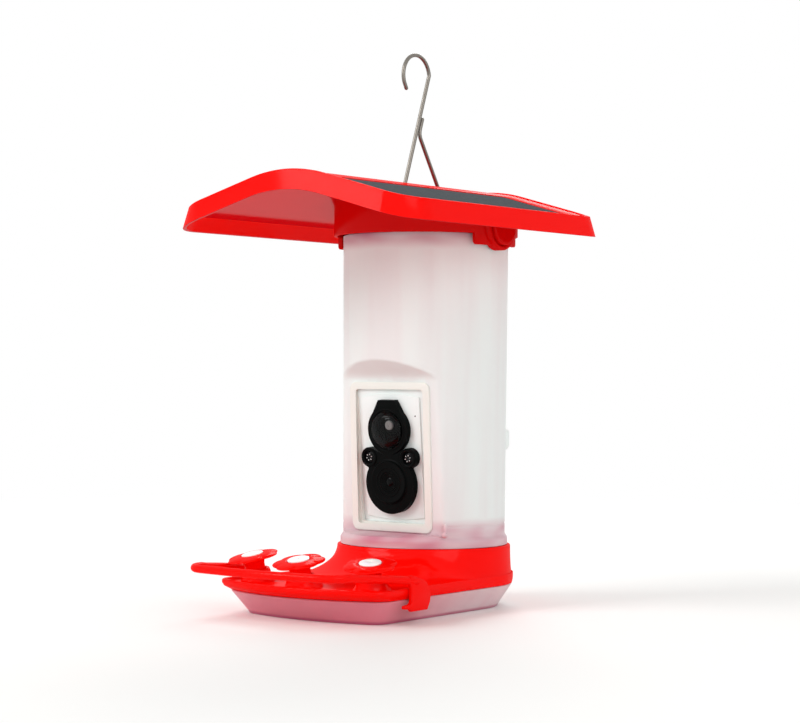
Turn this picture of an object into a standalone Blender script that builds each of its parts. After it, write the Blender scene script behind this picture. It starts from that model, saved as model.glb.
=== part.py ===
"""A hummingbird feeder with a camera in its bottle, a solar roof and a clip-on nectar tray.

Metres, +Z up. The origin is on the bottle's axis, on the face that the tray stands on. The front, with the
flowers and the perch, faces -Y.
"""

import math
from collections import namedtuple

import bmesh
import bpy
from mathutils import Matrix, Vector

# Gaps between pieces
SEAT_GAP = 0.0003
SLIDE_GAP = 0.0004
OVERRUN = 0.002
SINK = 0.001

# Nectar tray
TRAY_HEIGHT = 0.0132
TRAY_WALL = 0.002
TRAY_CHAMFER = 0.0008
TRAY_BACK_MARGIN = 0.0012
TRAY_SIDE_MARGIN = 0.0032
TRAY_FRONT_BOW = 0.0155
TRAY_FRONT_MARGIN = 0.0101
TRAY_CORNER_CUT = 0.007
TRAY_TAPER = 0.008
TRAY_CORNER_TAPER = 0.0056
TRAY_FRONT_TAPER = 0.0129

# Base deck
DECK_WALL = 0.0016
SKIRT_HEIGHT = 0.006
FOLD_FLARE = 0.0025
FOLD_BACK_FLARE = 0.0006
FOLD_CORNER_FLARE = 0.005
FOLD_FRONT_FLARE = 0.0045
FOLD_RIM = 0.0024
FOLD_BACK_RIM = 0.0003
DISH_DEPTH = 0.0012
FOOT_SIDE_MARGIN = 0.0025
FOOT_FRONT_BOW = 0.016
FOOT_FRONT_MARGIN = 0.0337
SWEEP_POWER_SHARE = 0.6
RING_TOP_RISE = 0.0221
RING_LEDGE = 0.0018
RING_ROUND = 0.0008
CUP_WALL = 0.0015
CUP_FLOOR_RISE = 0.006
CUP_HOLE_WAY = 0.002
CUP_SLOT = 0.0006
LIP_DEPTH = 0.004
GASKET_WIDTH = 0.0014
GASKET_HEIGHT = 0.0024
LIP_GAP = 0.0007

# Flowers
FLOWER_REACH = 0.111
MIDDLE_FLOWER_FORWARD = 0.0014
FLOWER_ANGLE = 22.2
FLOWER_TILT = 13.0
FLOWER_RISE = 0.0196
FLOWER_RADIUS = 0.01465
FLOWER_OVERHANG = 0.0006
FLOWER_DROOP = 0.0012
FLOWER_THICKNESS = 0.0016
PETALS = 6
PETAL_NOTCH_SHARE = 0.11
PETAL_ROUNDNESS_SHARE = 0.7
STEM_WALL = 0.00195
STEM_LENGTH = 0.0185
SOCKET_WALL = 0.0019
SOCKET_RISE = 0.006
INSERT_RADIUS = 0.00625
INSERT_CROWN = 0.0007
INSERT_TUBE = 0.0034
INSERT_CLEARANCE = 0.0051
INSERT_PORT = 0.0016

# Perch
PERCH_RADIUS = 0.00225
PERCH_HEIGHT = 0.0277
PERCH_FORWARD = 0.0265
PERCH_UNDER_PETALS = 0.0041
PERCH_BEND = 0.0135
PERCH_BOW = 0.0028
PERCH_BAR_SHARES = (0.0, 0.25, 0.5)
PERCH_ARM_SHARES = (0.33, 0.67, 0.9, 1.0)
PERCH_ARM_END_SHARES = (0.45, 0.82)
STRAP_THICKNESS = 0.0022
STRAP_LENGTH = 0.0254
STRAP_HEIGHT = 0.0197
STRAP_SET_BACK = 0.016
STRAP_BOTTOM = 0.0071
STRAP_OUTLINE_SHARES = (
    (0.28, 0.0), (0.87, 0.0), (0.96, 0.19), (1.0, 0.38), (0.98, 0.52), (0.92, 0.65), (0.82, 0.77),
    (0.70, 0.85), (0.52, 0.89), (0.30, 0.99), (0.20, 0.94), (0.22, 0.80), (0.26, 0.62), (0.28, 0.28),
    (0.22, 0.20), (0.02, 0.18), (0.0, 0.13), (0.03, 0.09), (0.22, 0.07),
)
PEG_RADIUS = 0.0015
PEG_LENGTH = 0.0024
PEG_HEIGHT = 0.0035

# Bottle
BOTTLE_HEIGHT = 0.1773
BOTTLE_TOP_RADIUS = 0.048
BOTTLE_TAPER = 0.001
BOTTLE_FLARE = 0.0015
BOTTLE_FLARE_HEIGHT = 0.0065
BOTTLE_WALL = 0.002
SHOULDER_WIDTH = 0.003
NECK_HEIGHT = 0.0128
NECK_BEAD = 0.0012
NECK_BEAD_HEIGHT = 0.003
SPIGOT_GAP = 0.0006
SPIGOT_WALL = 0.0022
SEAL_THICKNESS = 0.0016
MOUTH_RADIUS = 0.014
MOUTH_WALL = 0.002
MOUTH_CLEARANCE = 0.007
LUG_HEIGHT = 0.0025
LUG_REACH = 0.0015
LUG_RISE = 0.0023
LUG_COUNT = 3
LUG_ANGLE = 6.0
LUG_FREE_ANGLE = 1.2
TWIST_ANGLE = 30.0

# Scoop in the front of the bottle, with the camera's window
SCOOP_LEDGE_RISE = 0.0061
SCOOP_HEADROOM = 0.0071
SCOOP_CUT = 0.0175
SCOOP_TILT = 2.6
SCOOP_ROOF_SLOPE = 34.0
SCOOP_FILLET = 0.006
WINDOW_RISE = 0.0115
FRAME_WIDTH = 0.0042
FRAME_HEIGHT = 0.0011
FRAME_CORNER = 0.007
FRAME_MARGIN = 0.0034

# Camera
CAMERA_WIDTH = 0.049
CAMERA_HEIGHT = 0.078
CAMERA_CORNER = 0.004
CAMERA_WALL = 0.0018
CAMERA_FACE_BACK = 0.0005
CAMERA_FACE_TILT = 5.165
CAMERA_SPLIT = 0.008
PANEL_SIDE_MARGIN = 0.00375
PANEL_END_MARGIN = 0.00475
PANEL_BOW = 0.0018
PANEL_RISE = 0.0007
CAMERA_FLANGE = 0.0028
CAMERA_FLANGE_THICKNESS = 0.0017
CAMERA_BACK_THICKNESS = 0.0106
GRIP_HEIGHT = 0.013
GRIP_RISE = 0.0092
GRIP_REACH = 0.0022
FACEPLATE_THICKNESS = 0.0045
FACEPLATE_CROWN = 0.0033
FACEPLATE_TOP_WIDTH = 0.0114
FACEPLATE_HEAD_MARGIN = 0.0031
FACEPLATE_EAR_MARGIN = 0.0025
FACEPLATE_EAR_REACH = 0.0139
FACEPLATE_BODY_MARGIN = 0.0049
FACEPLATE_BODY_DROP = 0.0152
FACEPLATE_WAIST_WIDTH = 0.0232
FACEPLATE_WAIST_HEIGHT = 0.018
DOME_RADIUS = 0.0108
DOME_HEIGHT = 0.0042
DOME_RISE = 0.0158
LENS_RADIUS = 0.0122
LENS_DROP = 0.0139
LENS_RIM = 0.0016
LENS_STEP = 0.0011
LENS_STEPS = 3
LENS_BARREL_RADIUS = 0.0068
LENS_BARREL_LENGTH = 0.012
LAMP_RADIUS = 0.0032
LAMP_DEPTH = 0.0015
LAMP_CHAMFER = 0.0006
BATTERY_RADIUS = 0.0092
BATTERY_END_ROOM = 0.0065
BOARD_THICKNESS = 0.0016
BOARD_EDGE = 0.0008
POST_RADIUS = 0.0026
CAMERA_SCREW_RADIUS = 0.0011
CAMERA_SCREW_HEAD = 0.0021
CAMERA_SCREW_LENGTH = 0.0115
CAMERA_SCREW_GRIP = 0.0094
PORT_WIDTH = 0.018
PORT_HEIGHT = 0.009
PORT_DEPTH = 0.0026
PORT_COVER_THICKNESS = 0.0015
PORT_DROP = 0.022
PORT_SOCKET_WIDTH = 0.009
PORT_SOCKET_HEIGHT = 0.0034
PORT_HINGE_RADIUS = 0.0009

# Roof
ROOF_OVER_NECK = 0.0178
ROOF_OVER_BUTTON = 0.004
ROOF_HALF_WIDTH = 0.083
ROOF_FRONT = 0.125
ROOF_BACK = 0.0615
ROOF_CORNER = 0.020
ROOF_FASCIA = 0.0115
ROOF_FLARE = 0.0032
ROOF_WALL = 0.003
RIM_WIDTH = 0.002
RIM_HEIGHT = 0.0008
RIM_ROUND = 0.0004
ROOF_SLOPE = 15.5
EAVE_SLOPE = 8.0
RIDGE_RADIUS = 0.097
EAVE_WIDTH = 0.013

# Solar panels
SOLAR_INNER = 0.0295
SOLAR_SIDE_MARGIN = 0.0075
SOLAR_FRONT_MARGIN = 0.010
SOLAR_BACK_MARGIN = 0.0235
SOLAR_THICKNESS = 0.001
SOLAR_RECESS = 0.0005
SOLAR_CORNER = 0.003

# Roof collar
COLLAR_OVERHANG = 0.0055
COLLAR_WALL = 0.0025
PAD_DROP = 0.0064
PAD_HALF_WIDTH = 0.020
PAD_CORNER = 0.0015
BOSS_WALL = 0.0028
BOSS_REACH = 0.0015
EAR_IN = 0.0029
EAR_NECK_GAP = 0.0006
EAR_SPAN = 6.0
EAR_THICKNESS = 0.002
EAR_RISE = 0.0082
EAR_ANGLES = (45.0, 135.0, 225.0, 315.0)
COLLAR_SCREW_RADIUS = 0.0012
COLLAR_SCREW_HEAD = 0.0022
COLLAR_SCREW_HEAD_HEIGHT = 0.0018
COLLAR_SCREW_LENGTH = 0.0072
COLLAR_POST_RADIUS = 0.0024
SEAT_POST_RADIUS = 0.0018
SEAT_POST_ANGLES = (40.0, 140.0, 220.0, 320.0)

# Release buttons
BUTTON_RISE = 0.0039
BUTTON_RADIUS = 0.0102
BUTTON_REACH = 0.0036
BUTTON_DOME = 0.0004
BUTTON_FLANGE_LIP = 0.0015
BUTTON_FLANGE_THICKNESS = 0.0012
BUTTON_TRAVEL = 0.0025
ARM_THICKNESS = 0.0022
ARM_HALF_WIDTH = 0.005
ARM_OVER_NECK = 0.0008
LEG_THICKNESS = 0.0018
LEG_LENGTH = 0.011
HOOK_HEIGHT = 0.0022
HOOK_BITE = 0.0008
SPRING_RADIUS = 0.003
SPRING_WIRE = 0.00035
SPRING_LENGTH = 0.009
SPRING_TURNS = 5
SPRING_POINTS = 8
SPRING_PIN_RADIUS = 0.0018
SPRING_PIN_LENGTH = 0.0022
SPRING_POST_THICKNESS = 0.002

# Hanger
WIRE_RADIUS = 0.00115
PIN_DEPTH = 0.0053
HANGER_FRONT_FOOT = 0.022
HANGER_REAR_FOOT = 0.0145
HANGER_THROAT_FORWARD = 0.001
HANGER_THROAT_RISE = 0.0666
HOOK_APEX_RISE = 0.0801
HOOK_RADIUS = 0.0123
HOOK_START_ANGLE = 200.0
HOOK_END_ANGLE = 8.0
HOOK_TIP_BACK = 0.002
HOOK_TIP_DROP = 0.0036
HANGER_SWING = 45.0
HANGER_JOIN_RISE = 0.0353
HANGER_TAIL = 0.0095
FOOT_BEND = 0.0035
RETAINER_WIDTH = 0.028
RETAINER_LENGTH = 0.028
RETAINER_THICKNESS = 0.0022
RETAINER_SCREW_SPACING = 0.019
SADDLE_WIDTH = 0.010
SADDLE_LENGTH = 0.003
SADDLE_SPREAD = 0.018

# Counts of facets
ROUND_STEPS = 40
SMALL_STEPS = 16
TINY_STEPS = 8

# Limits of the mesh
MERGE_DISTANCE = 1e-6
SHARP_ANGLE = 30

# Reaches worked out from the sizes above
BOTTLE_LOW_RADIUS = BOTTLE_TOP_RADIUS - BOTTLE_TAPER
NECK_RADIUS = BOTTLE_TOP_RADIUS - SHOULDER_WIDTH
CUP_RADIUS = BOTTLE_LOW_RADIUS
SPIGOT_RADIUS = CUP_RADIUS - SPIGOT_GAP
CUP_HOLE_RADIUS = MOUTH_RADIUS + CUP_HOLE_WAY
RING_RADIUS = BOTTLE_LOW_RADIUS + BOTTLE_FLARE + RING_LEDGE
FOOT_SIDE = RING_RADIUS + FOOT_SIDE_MARGIN
FOOT_FRONT = RING_RADIUS + FOOT_FRONT_MARGIN
FOOT_CORNER = FOOT_FRONT - FOOT_FRONT_BOW
MIDDLE_FLOWER_REACH = FLOWER_REACH + MIDDLE_FLOWER_FORWARD
FLOWER_SIDE = FLOWER_REACH * math.sin(math.radians(FLOWER_ANGLE)) + FLOWER_RADIUS
TRAY_BACK = RING_RADIUS + TRAY_BACK_MARGIN
TRAY_SIDE = max(FOOT_SIDE + TRAY_SIDE_MARGIN, FLOWER_SIDE - FLOWER_OVERHANG)
TRAY_FRONT = MIDDLE_FLOWER_REACH + TRAY_FRONT_MARGIN
TRAY_CORNER = TRAY_FRONT - TRAY_FRONT_BOW
STEM_BORE = INSERT_TUBE + SLIDE_GAP
STEM_RADIUS = STEM_BORE + STEM_WALL
PERCH_FRONT = TRAY_FRONT + PERCH_FORWARD
PERCH_SIDE = FLOWER_SIDE - PERCH_UNDER_PETALS
STRAP_FRONT = TRAY_CORNER + FOLD_CORNER_FLARE - STRAP_SET_BACK
SCOOP_DEPTH = BOTTLE_LOW_RADIUS - SCOOP_CUT
SCOOP_HEIGHT = WINDOW_RISE - SCOOP_LEDGE_RISE + CAMERA_HEIGHT + SCOOP_HEADROOM
CAMERA_FACE_DEPTH = SCOOP_DEPTH - CAMERA_FACE_BACK
CAMERA_HOLLOW_BACK = BOTTLE_TOP_RADIUS - CAMERA_BACK_THICKNESS
PANEL_WIDTH = CAMERA_WIDTH - 2 * PANEL_SIDE_MARGIN
PANEL_HEIGHT = CAMERA_HEIGHT - 2 * PANEL_END_MARGIN
FACEPLATE_HEAD_RISE = DOME_RISE
FACEPLATE_HEAD_RADIUS = DOME_RADIUS + FACEPLATE_HEAD_MARGIN
FACEPLATE_TOP = FACEPLATE_HEAD_RISE + FACEPLATE_HEAD_RADIUS + FACEPLATE_CROWN
FACEPLATE_BODY_RADIUS = LENS_RADIUS + FACEPLATE_BODY_MARGIN
FACEPLATE_EAR_RADIUS = LAMP_RADIUS + FACEPLATE_EAR_MARGIN
BATTERY_LENGTH = CAMERA_HEIGHT - 2 * BATTERY_END_ROOM
COLLAR_RADIUS = BOTTLE_TOP_RADIUS + COLLAR_OVERHANG
EAR_REACH = COLLAR_RADIUS - COLLAR_WALL - EAR_IN
BOSS_RADIUS = BUTTON_RADIUS + BOSS_WALL
BUTTON_FLANGE = BUTTON_RADIUS + BUTTON_FLANGE_LIP
BUTTON_FACE = COLLAR_RADIUS + BUTTON_REACH
EAVE_START = ROOF_HALF_WIDTH - EAVE_WIDTH
SOLAR_OUTER = ROOF_HALF_WIDTH - SOLAR_SIDE_MARGIN
SOLAR_FRONT = ROOF_FRONT - SOLAR_FRONT_MARGIN
SOLAR_BACK = ROOF_BACK - SOLAR_BACK_MARGIN

# Levels worked out from the sizes above
DECK_BOTTOM = TRAY_HEIGHT + SEAT_GAP
FOLD_TOP = DECK_BOTTOM + SKIRT_HEIGHT
DECK_TOP = FOLD_TOP - DISH_DEPTH
DECK_UNDER = DECK_TOP - DECK_WALL
RING_TOP = DECK_BOTTOM + RING_TOP_RISE
CUP_FLOOR = DECK_BOTTOM + CUP_FLOOR_RISE
BOTTLE_FOOT = RING_TOP + SEAT_GAP
SHOULDER = BOTTLE_FOOT + BOTTLE_HEIGHT
NECK_TOP = SHOULDER + NECK_HEIGHT
SPIGOT_BOTTOM = CUP_FLOOR + SEAL_THICKNESS + 2 * SEAT_GAP
LUG_BOTTOM = SPIGOT_BOTTOM + LUG_RISE
COLLAR_BOTTOM = SHOULDER + SEAT_GAP
BUTTON_HEIGHT = COLLAR_BOTTOM + BUTTON_RISE
RIDGE_SIDE = RIDGE_RADIUS * math.sin(math.radians(ROOF_SLOPE))
RIDGE_DROP = RIDGE_RADIUS * (1 - math.cos(math.radians(ROOF_SLOPE)))
BUTTON_DROP = RIDGE_DROP + (BUTTON_FACE - RIDGE_SIDE) * math.tan(math.radians(ROOF_SLOPE))
RIDGE = max(NECK_TOP + ROOF_OVER_NECK, BUTTON_HEIGHT + BUTTON_RADIUS + ROOF_OVER_BUTTON + BUTTON_DROP)
PIN_HEIGHT = RIDGE - PIN_DEPTH
SCOOP_LEDGE = BOTTLE_FOOT + SCOOP_LEDGE_RISE
CAMERA_BOTTOM = BOTTLE_FOOT + WINDOW_RISE
CAMERA_TOP = CAMERA_BOTTOM + CAMERA_HEIGHT
CAMERA_MIDDLE = (CAMERA_BOTTOM + CAMERA_TOP) / 2
FLOWER_HEIGHT = DECK_BOTTOM + FLOWER_RISE
INSERT_LENGTH = (FLOWER_HEIGHT - TRAY_WALL - INSERT_CLEARANCE) / math.cos(math.radians(FLOWER_TILT))

RIGHT = 1
LEFT = -1
Outline = namedtuple("Outline", "back side corner front cut")


def new_collection(name):
    made = bpy.data.collections.new(name)
    bpy.context.scene.collection.children.link(made)
    return made


for leftover in list(bpy.data.objects):
    bpy.data.objects.remove(leftover, do_unlink=True)
PARTS = new_collection("smart_bird_feeder")
CUTTERS = new_collection("cutters")


# Materials

def colour_of(code):
    """A material colour from a hex code in sRGB."""
    shares = [int(code[i:i + 2], 16) / 255 for i in (1, 3, 5)]
    return [s / 12.92 if s <= 0.04045 else ((s + 0.055) / 1.055) ** 2.4 for s in shares] + [1.0]


def paint(piece, code, roughness_share, metallic_share=0.0, transmission_share=0.0):
    made = bpy.data.materials.new(piece.name)
    made.use_nodes = True
    shader = made.node_tree.nodes["Principled BSDF"]
    shader.inputs["Base Color"].default_value = colour_of(code)
    shader.inputs["Roughness"].default_value = roughness_share
    shader.inputs["Metallic"].default_value = metallic_share
    shader.inputs["Transmission Weight"].default_value = transmission_share
    piece.data.materials.clear()
    piece.data.materials.append(made)


def red_plastic(piece):
    paint(piece, "#E0120C", 0.25)


def clear_plastic(piece):
    paint(piece, "#E4DFDC", 0.35, 0.0, 0.5)


def white_plastic(piece):
    paint(piece, "#EDE9E6", 0.4)


def black_plastic(piece):
    paint(piece, "#16191A", 0.3)


def steel(piece):
    paint(piece, "#C8C5BE", 0.25, 1.0)


def rubber(piece):
    paint(piece, "#3A3C3D", 0.8)


# Frames

def at(x, y, z):
    return Matrix.Translation((x, y, z))


def turn(degrees, axis):
    return Matrix.Rotation(math.radians(degrees), 4, axis)


def facing_front(depth, height, tilt):
    """A frame on a face that looks forward: X to the right, Y up the face, Z out of it."""
    return at(0, -depth, height) @ turn(90 + tilt, "X")


def facing_side(side, height):
    """A frame whose Z points out to one side, with its Y up."""
    out = Matrix(((0, 0, 1, 0), (1, 0, 0, 0), (0, 1, 0, 0), (0, 0, 0, 1)))
    return at(0, 0, height) @ (out if side == RIGHT else turn(180, "Z") @ out)


# Shapes

def object_from(name, shape, frame=Matrix(), collection=None):
    bmesh.ops.recalc_face_normals(shape, faces=shape.faces)
    mesh = bpy.data.meshes.new(name)
    shape.to_mesh(mesh)
    shape.free()
    mesh.shade_smooth()
    mesh.set_sharp_from_angle(angle=math.radians(SHARP_ANGLE))
    made = bpy.data.objects.new(name, mesh)
    made.matrix_world = frame
    (collection or PARTS).objects.link(made)
    return made


def rod(name, radius, low, high, frame=Matrix(), steps=SMALL_STEPS, top_radius=None):
    """A cylinder or a cone along the frame's Z."""
    shape = bmesh.new()
    bmesh.ops.create_cone(
        shape, cap_ends=True, segments=steps, radius1=radius,
        radius2=radius if top_radius is None else top_radius, depth=high - low,
        matrix=Matrix.Translation((0, 0, (low + high) / 2)),
    )
    return object_from(name, shape, frame)


def box(name, low, high, frame=Matrix()):
    shape = bmesh.new()
    low, high = Vector(low), Vector(high)
    middle, size = (low + high) / 2, high - low
    bmesh.ops.create_cube(shape, size=1.0, matrix=at(*middle) @ Matrix.Diagonal((*size, 1.0)))
    return object_from(name, shape, frame)


def plate(name, outline, low, high, frame=Matrix()):
    """A flat outline as thick as the span from low to high along the frame's Z."""
    curve = bpy.data.curves.new(name, "CURVE")
    curve.dimensions = "2D"
    curve.fill_mode = "BOTH"
    curve.extrude = (high - low) / 2
    spline = curve.splines.new("POLY")
    spline.points.add(len(outline) - 1)
    for point, (x, y) in zip(spline.points, outline):
        point.co = (x, y, 0.0, 1.0)
    spline.use_cyclic_u = True
    return meshed(name, curve, frame @ at(0, 0, (low + high) / 2))


def meshed(name, curve, frame=Matrix()):
    """The curve as a mesh object with its caps welded on."""
    drawn = bpy.data.objects.new(name, curve)
    PARTS.objects.link(drawn)
    graph = bpy.context.evaluated_depsgraph_get()
    shape = bmesh.new()
    shape.from_mesh(bpy.data.meshes.new_from_object(drawn.evaluated_get(graph)))
    bmesh.ops.remove_doubles(shape, verts=shape.verts, dist=MERGE_DISTANCE)
    bpy.data.objects.remove(drawn, do_unlink=True)
    return object_from(name, shape, frame)


def tube(name, points, radius, roundness=2, frame=Matrix()):
    """A wire along the points, with closed ends."""
    curve = bpy.data.curves.new(name, "CURVE")
    curve.dimensions = "3D"
    curve.bevel_depth = radius
    curve.bevel_resolution = roundness
    curve.use_fill_caps = True
    spline = curve.splines.new("POLY")
    spline.points.add(len(points) - 1)
    for point, place in zip(spline.points, points):
        point.co = (*place, 1.0)
    return meshed(name, curve, frame)


def turned(name, profile, steps=ROUND_STEPS):
    """A profile of (radius, height) turned about Z. It runs down the outer side."""
    mesh = bpy.data.meshes.new(name)
    closed = profile[0][0] > 0 and profile[-1][0] > 0
    edges = [(i, i + 1) for i in range(len(profile) - 1)] + ([(len(profile) - 1, 0)] if closed else [])
    mesh.from_pydata([(radius, 0.0, height) for radius, height in profile], edges, [])
    made = bpy.data.objects.new(name, mesh)
    PARTS.objects.link(made)
    screw = made.modifiers.new("turn", "SCREW")
    screw.steps = screw.render_steps = steps
    screw.use_merge_vertices = True
    screw.merge_threshold = MERGE_DISTANCE
    screw.use_smooth_shade = True
    return made


def loft(name, rings, cyclic=False, frame=Matrix()):
    """Rings of as many points each, joined in turn. The ends are capped unless the rings close up."""
    shape = bmesh.new()
    rows = [[shape.verts.new(point) for point in ring] for ring in rings]
    for row, beyond in zip(rows, rows[1:] + (rows[:1] if cyclic else [])):
        count = len(row)
        for i in range(count):
            shape.faces.new((row[i], row[(i + 1) % count], beyond[(i + 1) % count], beyond[i]))
    if not cyclic:
        shape.faces.new(rows[0])
        shape.faces.new(rows[-1])
    return object_from(name, shape, frame)


def sector(name, radii, heights, angles):
    """A stretch of a ring between two radii, two heights and two angles in degrees."""
    steps = max(2, math.ceil((angles[1] - angles[0]) * ROUND_STEPS / 360))
    sections = []
    for i in range(steps + 1):
        angle = math.radians(angles[0] + (angles[1] - angles[0]) * i / steps)
        sections.append([
            (radius * math.cos(angle), radius * math.sin(angle), height)
            for radius, height in zip((radii[0], radii[1], radii[1], radii[0]),
                                      (heights[0], heights[0], heights[1], heights[1]))
        ])
    return loft(name, sections)


def boolean(target, tool, operation):
    """Cuts, joins or trims the target with the tool, which then counts as a helper."""
    change = target.modifiers.new(tool.name, "BOOLEAN")
    change.operation = operation
    change.object = tool
    if tool.name in PARTS.objects:
        PARTS.objects.unlink(tool)
        CUTTERS.objects.link(tool)
    tool.hide_render = True
    tool.display_type = "WIRE"


def cut(target, tool):
    boolean(target, tool, "DIFFERENCE")


def join(target, tool):
    boolean(target, tool, "UNION")


def trim(target, tool):
    boolean(target, tool, "INTERSECT")


def carrier(name, frame, parent=None):
    """An empty on a moving body's axis, which its pieces hang from."""
    made = bpy.data.objects.new(name, None)
    made.empty_display_size = BOTTLE_TOP_RADIUS / 4
    PARTS.objects.link(made)
    made.matrix_world = frame
    if parent:
        carry(parent, made)
    return made


def carry(parent, *pieces):
    bpy.context.view_layer.update()
    for piece in pieces:
        piece.parent = parent
        piece.matrix_parent_inverse = parent.matrix_world.inverted()


# Outlines

def arc(centre, radius, start, end, steps):
    """Points on an arc, with angles in degrees."""
    angles = [math.radians(start + (end - start) * i / steps) for i in range(steps + 1)]
    return [(centre[0] + radius * math.cos(a), centre[1] + radius * math.sin(a)) for a in angles]


def rounded_rectangle(width, height, radius, middle=(0, 0), steps=4):
    x, y = width / 2 - radius, height / 2 - radius
    points = []
    for corner, start in (((x, y), 0), ((-x, y), 90), ((-x, -y), 180), ((x, -y), 270)):
        points += arc((middle[0] + corner[0], middle[1] + corner[1]), radius, start, start + 90, steps)
    return points


def side_line(outline):
    """The straight side of a base outline: its corner, and where it meets the round back."""
    reach = math.hypot(outline.side, outline.corner)
    angle = math.atan2(-outline.corner, outline.side) + math.acos(outline.back / reach)
    corner = Vector((outline.side, -outline.corner))
    return corner, Vector((outline.back * math.cos(angle), outline.back * math.sin(angle))), angle


def base_points(outline):
    """A base outline: a bowed front, cut corners, straight sides and a round back. Every base outline has as
    many points, in the same order, so that two of them can be lofted."""
    front_steps, corner_steps, side_steps, back_steps = 4, 2, 6, 9
    corner, back_start, back_angle = side_line(outline)
    bow = outline.front - outline.corner
    radius = (outline.side ** 2 + bow ** 2) / (2 * bow)
    reach = math.asin(outline.side / radius) - outline.cut / radius
    half = [
        Vector((radius * math.sin(reach * i / front_steps),
                radius - outline.front - radius * math.cos(reach * i / front_steps)))
        for i in range(front_steps + 1)
    ]
    arc_end, side_start = half[-1], corner + (back_start - corner).normalized() * outline.cut
    for i in range(1, corner_steps + 1):
        share = i / corner_steps
        half.append(arc_end.lerp(corner, share).lerp(corner.lerp(side_start, share), share))
    start_angle = math.atan2(side_start.y, side_start.x)
    along = back_start - side_start
    for i in range(1, side_steps + 1):
        angle = start_angle + (back_angle - start_angle) * i / side_steps
        ray = Vector((math.cos(angle), math.sin(angle)))
        share = side_start.cross(ray) / ray.cross(along)
        half.append(side_start + along * share)
    for i in range(1, back_steps + 1):
        angle = back_angle + (math.pi / 2 - back_angle) * i / back_steps
        half.append(Vector((outline.back * math.cos(angle), outline.back * math.sin(angle))))
    return half + [Vector((-point.x, point.y)) for point in reversed(half[1:-1])]


def smaller(outline, by, back_by=None):
    return Outline(
        outline.back - (by if back_by is None else back_by), outline.side - by, outline.corner - by,
        outline.front - by, outline.cut,
    )


def circle_along(points, radius):
    """The circle's point in the direction of each of these points."""
    return [point.normalized() * radius for point in points]


def lifted(points, height):
    return [(point.x, point.y, height) for point in points]


TRAY_RIM = Outline(TRAY_BACK, TRAY_SIDE, TRAY_CORNER, TRAY_FRONT, TRAY_CORNER_CUT)
TRAY_FLOOR = Outline(
    TRAY_BACK - TRAY_TAPER, TRAY_SIDE - TRAY_TAPER, TRAY_CORNER - TRAY_CORNER_TAPER,
    TRAY_FRONT - TRAY_FRONT_TAPER, TRAY_CORNER_CUT,
)
FOLD = Outline(
    TRAY_BACK + FOLD_BACK_FLARE, TRAY_SIDE + FOLD_FLARE, TRAY_CORNER + FOLD_CORNER_FLARE,
    TRAY_FRONT + FOLD_FRONT_FLARE, TRAY_CORNER_CUT,
)
FOOT = Outline(
    TRAY_BACK + FOLD_BACK_FLARE - 2 * FOLD_BACK_RIM, FOOT_SIDE, FOOT_CORNER, FOOT_FRONT, TRAY_CORNER_CUT
)


# Base

def tray_inside(height, inward):
    """The tray's inner face at this height, moved inward."""
    share = (height - TRAY_WALL) / (TRAY_HEIGHT - TRAY_WALL)
    between = Outline(*(low + (high - low) * share for low, high in zip(TRAY_FLOOR, TRAY_RIM)))
    return base_points(smaller(between, TRAY_WALL + inward))


def make_tray():
    low, high = base_points(TRAY_FLOOR), base_points(TRAY_RIM)
    inner_low = base_points(smaller(TRAY_FLOOR, TRAY_WALL))
    inner_high = base_points(smaller(TRAY_RIM, TRAY_WALL))
    made = loft("nectar_tray", [
        lifted(base_points(smaller(TRAY_FLOOR, TRAY_CHAMFER)), 0),
        lifted(low, TRAY_CHAMFER),
        lifted(high, TRAY_HEIGHT),
        lifted(inner_high, TRAY_HEIGHT),
        lifted(inner_low, TRAY_WALL),
    ])
    clear_plastic(made)
    return made


def make_gasket():
    """The seal between the deck's lip and the tray's wall."""
    top = DECK_BOTTOM - SEAT_GAP
    low = top - GASKET_HEIGHT
    inner = SEAT_GAP + GASKET_WIDTH
    made = loft("tray_gasket", [
        lifted(tray_inside(top, SEAT_GAP), top),
        lifted(tray_inside(top, inner), top),
        lifted(tray_inside(low, inner), low),
        lifted(tray_inside(low, SEAT_GAP + GASKET_WIDTH / 4), low),
    ], cyclic=True)
    rubber(made)
    return made


def sweep_rings(foot, radius, low, high, steps):
    """The hollow sweep from the deck up to the ring: rings that draw in and rise ever steeper."""
    rings = []
    for i in range(steps + 1):
        angle = math.pi / 2 * i / steps
        inward, rise = math.sin(angle), 1 - math.cos(angle) ** (2 * SWEEP_POWER_SHARE)
        points = [p.lerp(q, inward) for p, q in zip(foot, circle_along(foot, radius))]
        rings.append(lifted(points, low + (high - low) * rise))
    return rings


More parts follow.
